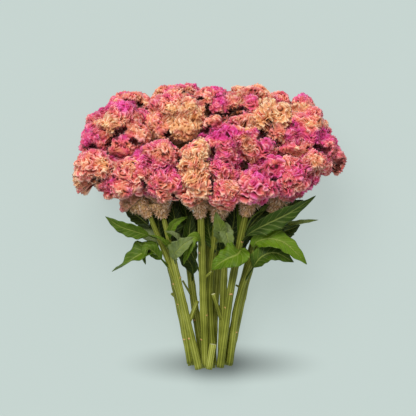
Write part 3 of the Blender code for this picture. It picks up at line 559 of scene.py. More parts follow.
def shade(colour):
    """A colour as a screen shows it, 0 to 255, as light. A node's colour stays as it is."""
    if isinstance(colour, Value):
        return colour
    light = [c / 255 for c in colour]
    return (*[c / 12.92 if c <= 0.04045 else ((c + 0.055) / 1.055) ** 2.4 for c in light], 1)


class Finish:
    """A material, its node tree and its shader."""

    def __init__(self, name, roughness, shine=0.2):
        self.material = bpy.data.materials.new(name)
        self.material.use_nodes = True
        self.tree = self.material.node_tree
        self.shader = self.tree.nodes["Principled BSDF"]
        self.shader.inputs["Roughness"].default_value = roughness
        self.shader.inputs["Specular IOR Level"].default_value = shine

    def node(self, kind, settings, inputs, output=0):
        made = self.tree.nodes.new(kind)
        for key, value in settings.items():
            if key == "stops":
                self.set_stops(made.color_ramp, value)
            else:
                setattr(made, key, value)
        for key, value in inputs.items():
            self.feed(made.inputs[key], value)
        return Value(self, made.outputs[output])

    def feed(self, socket, value):
        if isinstance(value, Value):
            self.tree.links.new(value.socket, socket)
        else:
            socket.default_value = value

    def set_stops(self, ramp, stops):
        while len(ramp.elements) < len(stops):
            ramp.elements.new(0.5)
        for element, (place, colour) in zip(ramp.elements, stops.items()):
            element.position = place
            element.color = shade(colour)

    def mark(self, name):
        return self.node("ShaderNodeAttribute", {"attribute_name": name}, {}, "Fac")

    def place(self):
        return self.node("ShaderNodeTexCoord", {}, {}, "Object")

    def noise(self, scale, detail=2.0):
        """Its grain is about one metre divided by the scale."""
        inputs = {"Vector": self.place(), "Scale": scale, "Detail": detail}
        return self.node("ShaderNodeTexNoise", {}, inputs, "Fac")

    def ramp(self, value, stops):
        return self.node("ShaderNodeValToRGB", {"stops": stops}, {"Fac": value}, "Color")

    def mix(self, share, first, second):
        inputs = {0: share, 6: shade(first), 7: shade(second)}
        return self.node("ShaderNodeMix", {"data_type": "RGBA"}, inputs, 2)

    def bump(self, height, depth):
        """Depth is the bump's real height in millimetres."""
        inputs = {"Height": height, "Distance": depth * MILLIMETRE}
        self.feed(self.shader.inputs["Normal"], self.node("ShaderNodeBump", {}, inputs, "Normal"))

    def paint(self, colour):
        self.feed(self.shader.inputs["Base Color"], colour)


def comb_finish(name, warmth):
    """Velvety folds: pale lips, deep coloured walls and dark pits, tan towards the neck. The pale lips are
    partly painted highlight and the dark pits partly painted shade, and painted shade darkens creases,
    knuckle hollows, walls between heads and the openings between heads.
    """
    finish = Finish(name, 0.75)
    patches = finish.noise(130)
    specks = finish.noise(330)
    grain = finish.noise(900)
    tone = finish.mark("tone") + patches.swing(0.6) + specks.swing(0.35) - warmth
    height = finish.mark("lip") + grain.swing(0.15)
    lips = finish.ramp(tone, {
        0.0: (252, 218, 172), 0.3: (252, 198, 172), 0.55: (248, 168, 164), 0.8: (242, 136, 168),
        1.0: (236, 104, 176)})
    walls = finish.ramp(tone, {
        0.0: (228, 164, 112), 0.3: (224, 132, 106), 0.55: (218, 102, 102), 0.8: (212, 74, 112),
        1.0: (208, 50, 124)})
    bases = finish.ramp(tone, {
        0.0: (190, 110, 54), 0.3: (188, 84, 52), 0.6: (174, 52, 52), 1.0: (168, 28, 76)})
    pits = finish.ramp(tone, {0.0: (84, 44, 14), 0.5: (82, 22, 14), 1.0: (80, 10, 28)})
    # Colour by fold height: the folds' own colours, with painted highlight making the lips pale and painted
    # shade making the pits dark
    colour = finish.mix(height.between(0.05, 0.2), pits, bases)
    colour = finish.mix(height.between(0.16, 0.46), colour, walls)
    colour = finish.mix(height.between(0.62, 0.94), colour, lips)
    husk = finish.mix(grain, (110, 80, 45), (200, 165, 120))
    colour = finish.mix(finish.mark("husk"), colour, husk)
    # Painted shade: deep brown-red laid over creases, hollows between knuckles, walls between heads and the
    # openings between heads
    finish.paint(finish.mix(finish.mark("hollow") * 0.8, colour, (62, 20, 14)))
    finish.bump(grain, 0.5)
    finish.shader.inputs["Sheen Weight"].default_value = 0.25
    finish.shader.inputs["Sheen Roughness"].default_value = 0.5
    return finish.material


def neck_finish():
    """Dry seed florets: tan at their roots, with paler tips from straw to pink."""
    finish = Finish("neck_florets", 0.8)
    grain = finish.noise(1200)
    tone = finish.mark("tone") + grain.swing(0.3)
    tips = finish.ramp(tone, {
        0.0: (206, 172, 118), 0.35: (236, 188, 146), 0.7: (250, 212, 176), 1.0: (255, 232, 206)})
    finish.paint(finish.mix(finish.mark("lip").between(0.0, 0.5), (204, 158, 106), tips))
    finish.bump(grain, 0.3)
    return finish.material


def stem_finish():
    """Ribbed green skin, yellower on the ribs, with tan scars and a pale cut."""
    finish = Finish("stem_skin", 0.5)
    patches = finish.noise(35, 3)
    grain = finish.noise(1500)
    rib = finish.mark("rib")
    tone = rib * 0.42 + patches.swing(0.9) + finish.mark("light") + grain.swing(0.25)
    skin = finish.ramp(tone, {
        0.0: (88, 94, 22), 0.35: (130, 136, 48), 0.65: (160, 164, 78), 1.0: (192, 192, 116)})
    scar = finish.mix(grain, (160, 110, 64), (220, 178, 118))
    colour = finish.mix(finish.mark("scar"), skin, scar)
    cut = finish.mix(grain, (168, 172, 110), (216, 214, 166))
    finish.paint(finish.mix(finish.mark("cut"), colour, cut))
    finish.bump(grain * 0.4 + rib, 0.25)
    return finish.material


def leaf_finish():
    """A green blade with a pale midrib and side veins, paler below."""
    finish = Finish("leaf_blade", 0.5)
    across = finish.mark("across").size()
    along = finish.mark("along")
    patches = finish.noise(60, 3)
    grain = finish.noise(1400)
    from_vein = (along * SIDE_VEINS - across * VEIN_LEAN).remainder() - 0.5
    side_veins = 1 - from_vein.size().between(0.03, 0.16)
    midrib = 1 - across.between(0.03, 0.12)
    tone = finish.mark("tone") + patches.swing(0.5) + grain.swing(0.12)
    blade = finish.ramp(tone, {
        0.0: (30, 44, 4), 0.3: (54, 78, 6), 0.6: (90, 120, 14), 0.8: (96, 114, 36), 1.0: (112, 126, 80)})
    vein = finish.mix(0.4, blade, (170, 180, 96))
    colour = finish.mix(side_veins * 0.35, blade, vein)
    colour = finish.mix(midrib * 0.6, colour, (140, 152, 70))
    under = finish.mix(0.5, colour, (124, 138, 92))
    finish.paint(finish.mix(finish.mark("under"), colour, under))
    finish.bump(side_veins * -0.8 - midrib + grain * 0.2 + patches * 0.8, 0.6)
    return finish.material


# Combs

@lru_cache(maxsize=None)
def geodesic_ball(steps):
    """Directions and triangles of a ball: an icosahedron, each edge split into that many steps."""
    solid = bmesh.new()
    bmesh.ops.create_icosphere(solid, subdivisions=1, radius=1)
    corners = [[np.array(vertex.co) for vertex in face.verts] for face in solid.faces]
    solid.free()
    points, triangles = [], []
    for a, b, c in corners:
        index = {}
        for i in range(steps + 1):
            for j in range(steps + 1 - i):
                index[i, j] = len(points)
                points.append(a + (b - a) * i / steps + (c - a) * j / steps)
        for i in range(steps):
            for j in range(steps - i):
                triangles.append((index[i, j], index[i + 1, j], index[i, j + 1]))
                if i + j < steps - 1:
                    triangles.append((index[i + 1, j], index[i + 1, j + 1], index[i, j + 1]))
    points = np.array(points)
    _, kept, merged = np.unique(np.round(points, 5), axis=0, return_index=True, return_inverse=True)
    return unit(points[kept]), merged.reshape(-1)[np.array(triangles)]


@lru_cache(maxsize=None)
def ball_neighbours(steps):
    """For each point of a ball the six points round it, one of them twice at the twelve corners."""
    rays, triangles = geodesic_ball(steps)
    sides = [triangles[:, [0, 1]], triangles[:, [1, 2]], triangles[:, [2, 0]]]
    edges = np.unique(np.concatenate(sides), axis=0)
    starts = np.searchsorted(edges[:, 0], np.arange(len(rays)))
    counts = np.searchsorted(edges[:, 0], np.arange(len(rays)), side="right") - starts
    return np.stack([edges[starts + k % counts, 1] for k in range(6)], 1)


def surface_normals(points, triangles):
    a, b, c = (points[triangles[:, k]] for k in range(3))
    flat = np.cross(b - a, c - a)
    normals = np.zeros_like(points)
    for corner in range(3):
        for axis in range(3):
            normals[:, axis] += np.bincount(triangles[:, corner], flat[:, axis], len(points))
    return unit(normals)


def lobe_centre(lobe):
    return np.array([lobe.across, lobe.back, lobe.up], float)


def lobe_size(lobe):
    return np.array([lobe.half_wide, lobe.half_deep, lobe.half_high], float) * LOBE_FULLNESS


def head_axis(flower):
    return unit(np.array(flower.collar, float) - np.array(flower.neck, float))


def head_centre(name):
    lobes = FLOWERS[name].lobes
    weights = np.array([lobe.half_wide * lobe.half_deep * lobe.half_high for lobe in lobes])
    return (np.array([lobe_centre(lobe) for lobe in lobes]) * weights[:, None]).sum(0) / weights.sum()


def head_reach(name, direction):
    centre = head_centre(name)
    return max(
        float((lobe_centre(lobe) - centre) @ direction + np.linalg.norm(lobe_size(lobe) * direction))
        for lobe in FLOWERS[name].lobes)


def lobe_distance(rays, centre, middle, size):
    """Where rays from the head's centre leave an ellipsoid, or 0 where they miss it."""
    start = (centre - middle) / size
    slope = rays / size
    a = (slope * slope).sum(1)
    b = (slope * start).sum(1)
    inside = b * b - a * ((start * start).sum() - 1)
    hit = inside > 0
    distance = np.where(hit, (-b + np.sqrt(np.where(hit, inside, 0))) / a, 0)
    return np.maximum(distance, 0)


def lobed_radius(name, rays):
    """How far the head's lobes, core and root reach along each ray, and how deep in a crease that is."""
    flower = FLOWERS[name]
    centre = head_centre(name)
    spread = np.zeros(3)
    reaches = []
    for lobe in flower.lobes:
        reaches.append(lobe_distance(rays, centre, lobe_centre(lobe), lobe_size(lobe)))
        spread = np.maximum(spread, np.abs(lobe_centre(lobe) - centre) + lobe_size(lobe))
    reaches.append(lobe_distance(rays, centre, centre, spread * CORE_SHARE))
    root = np.array(flower.collar) + head_axis(flower) * ROOT_DEPTH
    reaches.append(lobe_distance(rays, centre, root, np.full(3, flower.neck_radius + ROOT_DEPTH)))
    reaches = np.sort(np.array(reaches), axis=0)
    crease = np.exp(-((reaches[-1] - reaches[-2]) / CREASE_WIDTH) ** 2)
    return (reaches ** LOBE_BLEND).sum(0) ** (1 / LOBE_BLEND) - CREASE_DEPTH * crease, crease


def other_flowers(name):
    return [other for other in FLOWERS if other != name]


def cuts_between_heads(name):
    """A plane between this head and each other one, as a direction and its distance from the centre."""
    cuts = []
    centre = head_centre(name)
    for other in other_flowers(name):
        gap = head_centre(other) - centre
        span = float(np.linalg.norm(gap))
        direction = gap / span
        own = head_reach(name, direction)
        theirs = head_reach(other, -direction)
        if own + theirs > span:
            cuts.append((direction, span * own / (own + theirs) + HEAD_OVERLAP))
    return cuts


def stalk_points(name):
    """Points along a flower's stem and neck, each with the radius there."""
    flower = FLOWERS[name]
    points = []
    for k, point in enumerate(smooth_path([flower.foot, flower.way, flower.neck], STALK_POINTS)):
        points.append((np.array(point), stem_radius(k / (STALK_POINTS - 1))))
    for share in (0.2, 0.4, 0.6, 0.8, 1.0):
        point = Vector(flower.neck).lerp(Vector(flower.collar), share)
        radius = STEM_RADIUS_TOP + (flower.neck_radius - STEM_RADIUS_TOP) * share ** NECK_FLARE
        points.append((np.array(point), radius))
    return points


def cuts_beside_stalks(name):
    """A plane between this head and each other flower's neck and stem."""
    cuts = []
    centre = head_centre(name)
    for other in other_flowers(name):
        near = [(p, r) for p, r in stalk_points(other) if np.linalg.norm(p - centre) < STALK_SEARCH]
        if not near:
            continue
        closest, _ = min(near, key=lambda item: np.linalg.norm(item[0] - centre) - item[1])
        direction = unit(closest - centre)
        distance = min(float((p - centre) @ direction) - r for p, r in near) - TOUCH_GAP
        if distance < head_reach(name, direction):
            cuts.append((direction, max(distance, LEAST_REACH)))
    return cuts


def plane_distance(rays, direction, distance):
    lean = rays @ direction
    return np.where(lean > LEAST_LEAN, distance / np.maximum(lean, LEAST_LEAN), NO_MEETING)


def bare_surface(name, rays, cuts):
    """Points of a head before its folds, how exposed each is, 0 on a wall between heads, and its crease."""
    flower = FLOWERS[name]
    centre = head_centre(name)
    bare, crease = lobed_radius(name, rays)
    power = bare ** -float(CUT_BLEND)
    nearest = np.full(len(rays), NO_MEETING)
    for direction, distance in cuts:
        reach = plane_distance(rays, direction, distance)
        power += reach ** -float(CUT_BLEND)
        nearest = np.minimum(nearest, reach)
    radius = power ** (-1 / CUT_BLEND)
    down = -head_axis(flower)
    collar = plane_distance(rays, down, float((np.array(flower.collar) - centre) @ down))
    toward_floor = np.array([0, math.cos(STEM_RISE), -math.sin(STEM_RISE)])
    floor = plane_distance(rays, toward_floor, FOOT_PLACE[2] - float(centre @ toward_floor))
    radius = np.minimum(radius, np.minimum(collar, floor))
    nearest = np.minimum(nearest, np.minimum(collar, floor))
    return centre + rays * radius[:, None], smooth_step(0, WALL_EDGE, nearest - bare), crease


class Waves:
    """A sum of plane waves of about one length in every direction. Where it is zero, lines meander."""

    def __init__(self, draw, length, count=FOLD_WAVES):
        headings = unit(np.array([[draw.gauss(0, 1) for _ in range(3)] for _ in range(count)]))
        lengths = length * np.exp([[draw.gauss(0, WAVE_SPREAD)] for _ in range(count)])
        self.turns = headings * 2 * math.pi / lengths
        self.starts = np.array([draw.uniform(0, 2 * math.pi) for _ in range(count)])
        self.scale = math.sqrt(2 / count)

    def height(self, points):
        return np.sin(points @ self.turns.T + self.starts).sum(1) * self.scale


def crumpled(points, draw):
    """The points pushed about unevenly, so that folds worked out from them stretch, bend and bunch up."""
    pushes = [Waves(draw, CRUMPLE_LENGTH, count=8).height(points) for _ in range(3)]
    return points + CRUMPLE * np.stack(pushes, 1)


def folds(points, draw, length, crossing):
    """0 in the deepest pit to 1 on the sharpest lip, every height as common as any other."""
    away = np.abs(Waves(draw, length).height(points))
    away += crossing * np.abs(Waves(draw, length * SMALL_FOLDS).height(points))
    return 1 - np.argsort(np.argsort(away)) / len(points)


def gap_share(points, draw):
    """1 in the middle of an opening between heads, seen from the front, and 0 outside them all. The comb is
    pushed in there and darkened with painted shade.
    """
    share = np.zeros(len(points))
    uneven = GAP_ROUGHNESS * Waves(draw, GAP_ROUGH_SPAN, count=10).height(points)
    for across, up, half_wide, half_high, lean in GAPS:
        right, high = points[:, 0] - across, points[:, 2] - up
        turn = math.radians(lean)
        along = (right * math.cos(turn) + high * math.sin(turn)) / half_wide
        over = (high * math.cos(turn) - right * math.sin(turn)) / half_high
        share = np.maximum(share, smooth_step(1.5, 0.5, np.hypot(along, over) + uneven))
    return share


def knuckles(points, draw):
    """Rounded knobs like a cauliflower's: 1 at a knob's top, 0 in the creases between knobs."""
    tops = []
    for k in draw.sample(range(len(points)), min(KNUCKLE_TRIES, len(points))):
        spot = points[k]
        if all(np.linalg.norm(spot - top) > KNUCKLE_SPACING * KNUCKLE_CLOSENESS for top in tops):
            tops.append(spot)
    sizes = KNUCKLE_SPACING * np.array([draw.uniform(*KNUCKLE_SIZES) for _ in tops])
    nearest = np.full(len(points), np.inf)
    for top, size in zip(tops, sizes):
        nearest = np.minimum(nearest, np.linalg.norm(points - top, axis=1) / size)
    return np.sqrt(np.clip(1 - nearest ** 2, 0, 1))


def comb_tone(flower, points, draw):
    """Each lobe's colour and its place from skirt, 0, to crown, 1, blended where lobes meet."""
    total = np.zeros(len(points))
    level = np.zeros(len(points))
    weight = np.zeros(len(points))
    for lobe in flower.lobes:
        offset = (points - lobe_centre(lobe)) / lobe_size(lobe)
        near = np.exp(-COLOUR_FALLOFF * (offset * offset).sum(1))
        rise = smooth_step(SKIRT_COLOUR, CROWN_COLOUR, offset[:, 2])
        total += near * (lobe.skirt + (lobe.crown - lobe.skirt) * rise)
        level += near * smooth_step(SKIRT_LEVEL, CROWN_LEVEL, offset[:, 2])
        weight += near
    weight = np.maximum(weight, 1e-12)
    drift = BROAD_DRIFT * Waves(draw, BROAD_SPAN, count=8).height(points)
    drift += SHORT_DRIFT * Waves(draw, SHORT_DRIFT_SPAN, count=12).height(points)
    return total / weight + drift, level / weight


def even_out(name, rays, around, cuts):
    """Draws the ball's directions over the head, so that its triangles come out small where they are seen."""
    centre = head_centre(name)
    outward = unit(np.array(FLOWERS[name].outward))
    for _ in range(EVEN_ROUNDS):
        points, exposed, _ = bare_surface(name, rays, cuts)
        seen = smooth_step(-0.5, 0.8, rays @ outward)
        pull = (WALL_PULL + exposed * (1 - WALL_PULL + OUTWARD_PULL * seen))[around][:, :, None]
        middle = (points[around] * pull).sum(1) / pull.sum(1)
        rays = unit((1 - EVEN_STEP) * (points - centre) + EVEN_STEP * (middle - centre))
    return rays


def head_points(name):
    """Points and triangles of a head before its folds, how exposed each point is, and its crease."""
    steps = HIDDEN_BALL_STEPS if name.startswith("under") else BALL_STEPS
    rays, triangles = geodesic_ball(steps)
    cuts = cuts_between_heads(name) + cuts_beside_stalks(name)
    rays = unit(rays + FRONT_LEAN * unit(np.array(FLOWERS[name].outward)))
    rays = even_out(name, rays, ball_neighbours(steps), cuts)
    points, exposed, crease = bare_surface(name, rays, cuts)
    return points, triangles, exposed, crease


def build_comb(name, finish):
    flower = FLOWERS[name]
    draw = random.Random("folds " + name)
    points, triangles, exposed, crease = head_points(name)
    relief = WALL_RELIEF + (1 - WALL_RELIEF) * exposed
    normals = surface_normals(points, triangles)
    toward_viewer = -normals[:, 1]
    tone, level = comb_tone(flower, points, draw)
    openness = OPEN_FOLDS.get(name, 1.0)
    level = level + 1 - openness + LEVEL_DRIFT * Waves(draw, LEVEL_SPAN, count=8).height(points)
    wide = smooth_step(TIGHT_LEVEL, OPEN_LEVEL, level)
    knob = knuckles(points, draw)
    gap = gap_share(points, draw) * smooth_step(0.0, 0.4, toward_viewer)
    swell = BROAD_SWELL * Waves(draw, BROAD_SPAN, count=12).height(points)
    swell += SHORT_SWELL * Waves(draw, SHORT_SPAN, count=12).height(points)
    swell += (CROWN_KNUCKLES + (SKIRT_KNUCKLES - CROWN_KNUCKLES) * wide) * (knob - KNUCKLE_MIDDLE)
    swell = np.clip(swell, *SWELL_LIMITS) - DRAW_IN * smooth_step(0.75, 0.3, toward_viewer)
    points = points + normals * (swell * relief)[:, None]
    points[:, 1] += GAP_DEPTH * gap

    normals = surface_normals(points, triangles)
    pushed = crumpled(points, draw)
    lip = (1 - wide) * folds(pushed, draw, FINE_FOLDS, FINE_CROSSING)
    lip += wide * folds(pushed, draw, WIDE_FOLDS * openness, WIDE_CROSSING)
    depth = FINE_DEPTH + (WIDE_DEPTH * openness - FINE_DEPTH) * wide
    points = points + normals * (relief * depth * (lip ** LIP_SHARPNESS - FOLD_SEAT))[:, None]

    from_collar = np.linalg.norm(points - np.array(flower.collar, float), axis=1)
    husk = smooth_step(HUSK_END, HUSK_FULL, from_collar / flower.neck_radius)
    # Painted shade: how dark the comb is made between knuckles, in creases, on walls between heads and in the
    # openings between heads
    hollow = smooth_step(0.4, 0.0, knob) * KNUCKLE_SHADE * wide + crease * CREASE_SHADE
    hollow = hollow + smooth_step(0.5, 0.0, exposed) * WALL_SHADE + gap
    marks = {"lip": lip, "tone": tone, "husk": husk, "hollow": np.clip(hollow, 0, 1)}
    make_piece("comb_" + name, points, triangles.tolist(), finish, marks, "crest_" + name)


# Stems and necks

def smooth_path(points, count):
    """Points at even steps of a curve that passes through the given ones."""
    knots = [Vector(p) for p in points]
    knots = [2 * knots[0] - knots[1]] + knots + [2 * knots[-1] - knots[-2]]
    fine = []
    for a, b, c, d in zip(knots, knots[1:], knots[2:], knots[3:]):
        for step in range(CURVE_STEPS):
            t = step / CURVE_STEPS
            bend = (2 * a - 5 * b + 4 * c - d) * t * t + (3 * b - a - 3 * c + d) * t * t * t
            fine.append((2 * b + (c - a) * t + bend) / 2)
    fine.append(knots[-2])
    lengths = [0.0]
    for a, b in zip(fine, fine[1:]):
        lengths.append(lengths[-1] + (b - a).length)
    path = []
    i = 0
    for k in range(count):
        goal = lengths[-1] * k / (count - 1)
        while i < len(fine) - 2 and lengths[i + 1] <= goal:
            i += 1
        share = (goal - lengths[i]) / (lengths[i + 1] - lengths[i])
        path.append(fine[i].lerp(fine[i + 1], min(share, 1.0)))
    return path


def frames_along(path):
    """Each point of a path with the way on, and two directions square to it that don't twist."""
    frames = []
    side = Vector((1, 0, 0))
    for k, point in enumerate(path):
        ahead = (path[min(k + 1, len(path) - 1)] - path[max(k - 1, 0)]).normalized()
        side = (side - ahead * side.dot(ahead)).normalized()
        frames.append((point, ahead, side, ahead.cross(side)))
    return frames


def stem_radius(share):
    return STEM_RADIUS_FOOT + (STEM_RADIUS_TOP - STEM_RADIUS_FOOT) * share


def stalk_radius(name, share):
    """The stem's radius as it looks: some stems thin towards the top."""
    return stem_radius(share) * (STEM_FULLNESS - THIN_TOPS.get(name, 0.0) * share)


class Shape:
    """Points, faces and marks that several builders add to before they become one piece."""

    def __init__(self, *marks):
        self.points = []
        self.faces = []
        self.marks = {mark: [] for mark in marks}

    def add(self, points, faces, **marks):
        start = len(self.points)
        self.points.extend(points)
        self.faces.extend(tuple(start + k for k in face) for face in faces)
        for mark, values in self.marks.items():
            given = marks.get(mark, 0.0)
            values.extend(given if hasattr(given, "__len__") else [given] * len(points))


def out_at(angle, side, other):
    """The way out of a stem's middle at an angle round it."""
    return math.cos(angle) * side + math.sin(angle) * other


def tube_faces(rings, sides):
    """The faces between a tube's rings, and one over each end."""
    faces = []
    for ring in range(rings - 1):
        for k in range(sides):
            a = ring * sides + k
            b = ring * sides + (k + 1) % sides
            faces.append((a, b, b + sides, a + sides))
    faces.append(tuple(range(sides))[::-1])
    faces.append(tuple((rings - 1) * sides + k for k in range(sides)))
    return faces


def add_tube(shape, path, radius_at, sides, ribs, rib_depth, light, draw):
    """A ribbed round stem with flat cut faces. Light is how much paler its skin is than usual."""
    start = draw.uniform(0, 6)
    frames = frames_along(path)
    rings = [(0, inner, frames[0], 1.0) for inner in CUT_RINGS]
    rings += [(k / (len(path) - 1), 1.0, here, 0.0) for k, here in enumerate(frames)]
    rings += [(1, inner, frames[-1], 1.0) for inner in CUT_RINGS[::-1]]
    points, rib_marks, cut_marks = [], [], []
    for share, inner, (point, _, side, other), cut in rings:
        for s in range(sides):
            angle = 2 * math.pi * s / sides
            wave = 0.5 + 0.5 * math.cos(ribs * angle + start + RIB_DRIFT * math.sin(3 * angle + start))
            reach = radius_at(share) * (1 - rib_depth * (1 - wave)) * inner
            points.append(point + reach * out_at(angle, side, other))
            rib_marks.append(wave)
            cut_marks.append(cut)
    shape.add(points, tube_faces(len(rings), sides), rib=rib_marks, cut=cut_marks, light=light)


def add_scar(shape, middle, away, ahead, radius, draw):
    """A leaf scar: a low, uneven tan pad that stands off the stem, highest at its lower edge."""
    rays, triangles = geodesic_ball(SCAR_STEPS)
    side = away.cross(ahead).normalized()
    wide = draw.uniform(*SCAR_WIDTHS)
    tall = draw.uniform(*SCAR_HEIGHTS)
    points, scar_marks = [], []
    for x, y, z in rays:
        stand = radius - SCAR_SINK + (SCAR_STAND - SCAR_TILT * z) * x
        uneven = 1 + 0.2 * math.sin(5 * y + 3 * z + wide)
        rise = tall * z - SCAR_SAG * y * y
        points.append(middle + away * stand + side * (wide * y * uneven) + ahead * rise)
        scar_marks.append(0.55 + 0.45 * max(x, 0))
    shape.add(points, triangles.tolist(), scar=scar_marks, light=0.3, rib=0.5)


def build_stem(name, finish):
    flower = FLOWERS[name]
    draw = random.Random("stem " + name)
    shape = Shape("rib", "cut", "light", "scar")
    foot, way = Vector(flower.foot), Vector(flower.way)
    foot = foot.lerp(way, SHORT_FEET.get(name, 0) / (way - foot).length)
    path = smooth_path([foot, way, flower.neck], STEM_RINGS)
    scars = [(along, side) for owner, along, side in SCARS if owner == name]
    knots = [along for along, _ in scars] + [draw.uniform(0.08, 0.9) for _ in range(BARE_KNOTS)]
    light = draw.uniform(-0.08, 0.14)
    start = draw.uniform(0, 6)

    def radius_at(share):
        bulge = sum(KNOT_SWELL * math.exp(-((share - place) / KNOT_LENGTH) ** 2) for place in knots)
        return stalk_radius(name, share) * (1 + bulge + STEM_WAVER * math.sin(23 * share + start))

    add_tube(shape, path, radius_at, STEM_SIDES, STEM_RIBS, RIB_DEPTH, light, draw)
    frames = frames_along(path)
    for along, side in scars:
        point, ahead, _, _ = frames[int(along * (len(path) - 1))]
        away = Vector((*side, 0))
        away = (away - ahead * away.dot(ahead)).normalized()
        add_scar(shape, point, away, ahead, stalk_radius(name, along), draw)
    for owner, along, direction, length, radius in SIDE_SHOOTS:
        if owner != name:
            continue
        root = path[int(along * (len(path) - 1))]
        heading = Vector(direction).normalized()
        twig = [root + heading * (stem_radius(along) + length) * k / 6 for k in range(7)]
        add_tube(
            shape, twig, lambda share: radius * (1 - TWIG_TAPER * share),
            sides=20, ribs=6, rib_depth=0.1, light=light, draw=draw)
    make_piece("stalk_" + name, shape.points, shape.faces, finish, shape.marks, "stem_" + name)


def build_stub(finish):
    draw = random.Random("stub")
    shape = Shape("rib", "cut", "light", "scar")
    path = smooth_path([STUB_FOOT, STUB_TOP], 8)
    add_tube(shape, path, lambda share: STUB_RADIUS, STEM_SIDES, ribs=8, rib_depth=0.14, light=0.2, draw=draw)
    make_piece("stalk_stub", shape.points, shape.faces, finish, shape.marks, "stem_stub")


def build_neck(name, finish):
    """A funnel covered in small pointed bracts, longest where it meets the comb."""
    flower = FLOWERS[name]
    draw = random.Random("neck " + name)
    low, high = Vector(flower.neck), Vector(flower.collar)
    axis = (high - low).normalized()
    start = STEM_RADIUS_TOP + NECK_STEP
    frames = frames_along([low.lerp(high, k / (NECK_RINGS - 1)) for k in range(NECK_RINGS)])

    def reach_at(share):
        return start + (flower.neck_radius - start) * share ** NECK_FLARE

    shape = Shape("tone", "lip")
    points = []
    for k, (point, _, side, other) in enumerate(frames):
        for s in range(NECK_SIDES):
            bumpy = reach_at(k / (NECK_RINGS - 1)) * (1 + draw.uniform(-0.05, 0.03))
            points.append(point + bumpy * out_at(2 * math.pi * s / NECK_SIDES, side, other))
    shape.add(points, tube_faces(NECK_RINGS, NECK_SIDES), tone=0.1, lip=0.3)
    for _ in range(BRACTS):
        share = draw.uniform(0.0, 1.0) ** 0.7
        _, _, side, other = frames[int(share * (NECK_RINGS - 1))]
        away = out_at(draw.uniform(0, 2 * math.pi), side, other)
        root = low.lerp(high, share) + away * (reach_at(share) - BRACT_SINK)
        heading = (away * draw.uniform(0.4, 0.9) + axis * draw.uniform(-0.9, 0.5)).normalized()
        across = heading.cross(axis).normalized()
        upward = across.cross(heading)
        length = draw.uniform(*BRACT_LENGTHS) + COLLAR_BRACTS * share
        width = draw.uniform(*BRACT_WIDTHS)
        tip = root + heading * length + axis * draw.uniform(-0.8, 0.8)
        bract = [root - across * width, root + across * width, root + upward * width * 0.7, tip]
        tone = draw.uniform(0, 1)
        shape.add(bract, [(0, 1, 2), (0, 3, 1), (1, 3, 2), (2, 3, 0)], tone=tone, lip=[0.2, 0.2, 0.2, 1.0])
    make_piece(
        "florets_" + name, shape.points, shape.faces, finish, shape.marks, "neck_" + name)


# Leaves

def leaf_seat(leaf):
    """The place on the stem's skin that the petiole grows from, and the way out of the skin there."""
    name, along = leaf.start
    flower = FLOWERS[name]
    path = smooth_path([flower.foot, flower.way, flower.neck], SEAT_POINTS)
    place = along * (len(path) - 1)
    middle = path[int(place)].lerp(path[int(place) + 1], place - int(place))
    ahead = (path[int(place) + 1] - path[int(place)]).normalized()
    away = Vector(leaf.path[0]) - middle
    away = (away - ahead * away.dot(ahead)).normalized()
    return middle + away * (stalk_radius(name, along) - SEAT_DEPTH), away


def blade_half_width(share, leaf):
    """A rod along the petiole, then widest a little before the blade's middle, and pointed at the tip."""
    if share <= leaf.petiole:
        return PETIOLE_RADIUS
    t = (share - leaf.petiole) / (1 - leaf.petiole)
    swell = math.sin(math.pi * t ** BLADE_MIDDLE) ** BLADE_FULLNESS
    return PETIOLE_RADIUS * (1 - t) + leaf.half_width * swell + TIP_HALF_WIDTH


def blade_lift(leaf, phase, share, blade, step, half):
    """How far the blade rises at one point: cupped, waved at its edge and puckered between its veins."""
    wave = leaf.wave * math.sin(phase + LONG_WAVES * share + 2.2 * step) * abs(step)
    wave += 0.5 * leaf.wave * math.sin(phase + SHORT_WAVES * share + 3 * step) * step * step
    turn = 2 * math.pi * (SIDE_VEINS * blade - VEIN_LEAN * abs(step))
    pucker = PUCKER * math.sin(turn) * math.sin(math.pi * abs(step))
    return leaf.cup * half * abs(step) ** 1.3 + (wave + pucker) * min(1, half / leaf.half_width)


def blade_faces(stations, row):
    """Triangles on both sides of a blade, split alike so that neither pokes through, and its rim."""
    back = (stations + 1) * row
    faces = []
    for r in range(stations):
        for k in range(row - 1):
            a = r * row + k
            b, c, d = a + 1, a + row + 1, a + row
            faces += [(a, b, c), (a, c, d), (c + back, b + back, a + back), (d + back, c + back, a + back)]
    rim = list(range(row)) + [r * row + row - 1 for r in range(1, stations + 1)]
    rim += [stations * row + k for k in range(row - 2, -1, -1)]
    rim += [r * row for r in range(stations - 1, 0, -1)]
    for a, b in zip(rim, rim[1:] + rim[:1]):
        faces.append((b, a, a + back, b + back))
    return faces


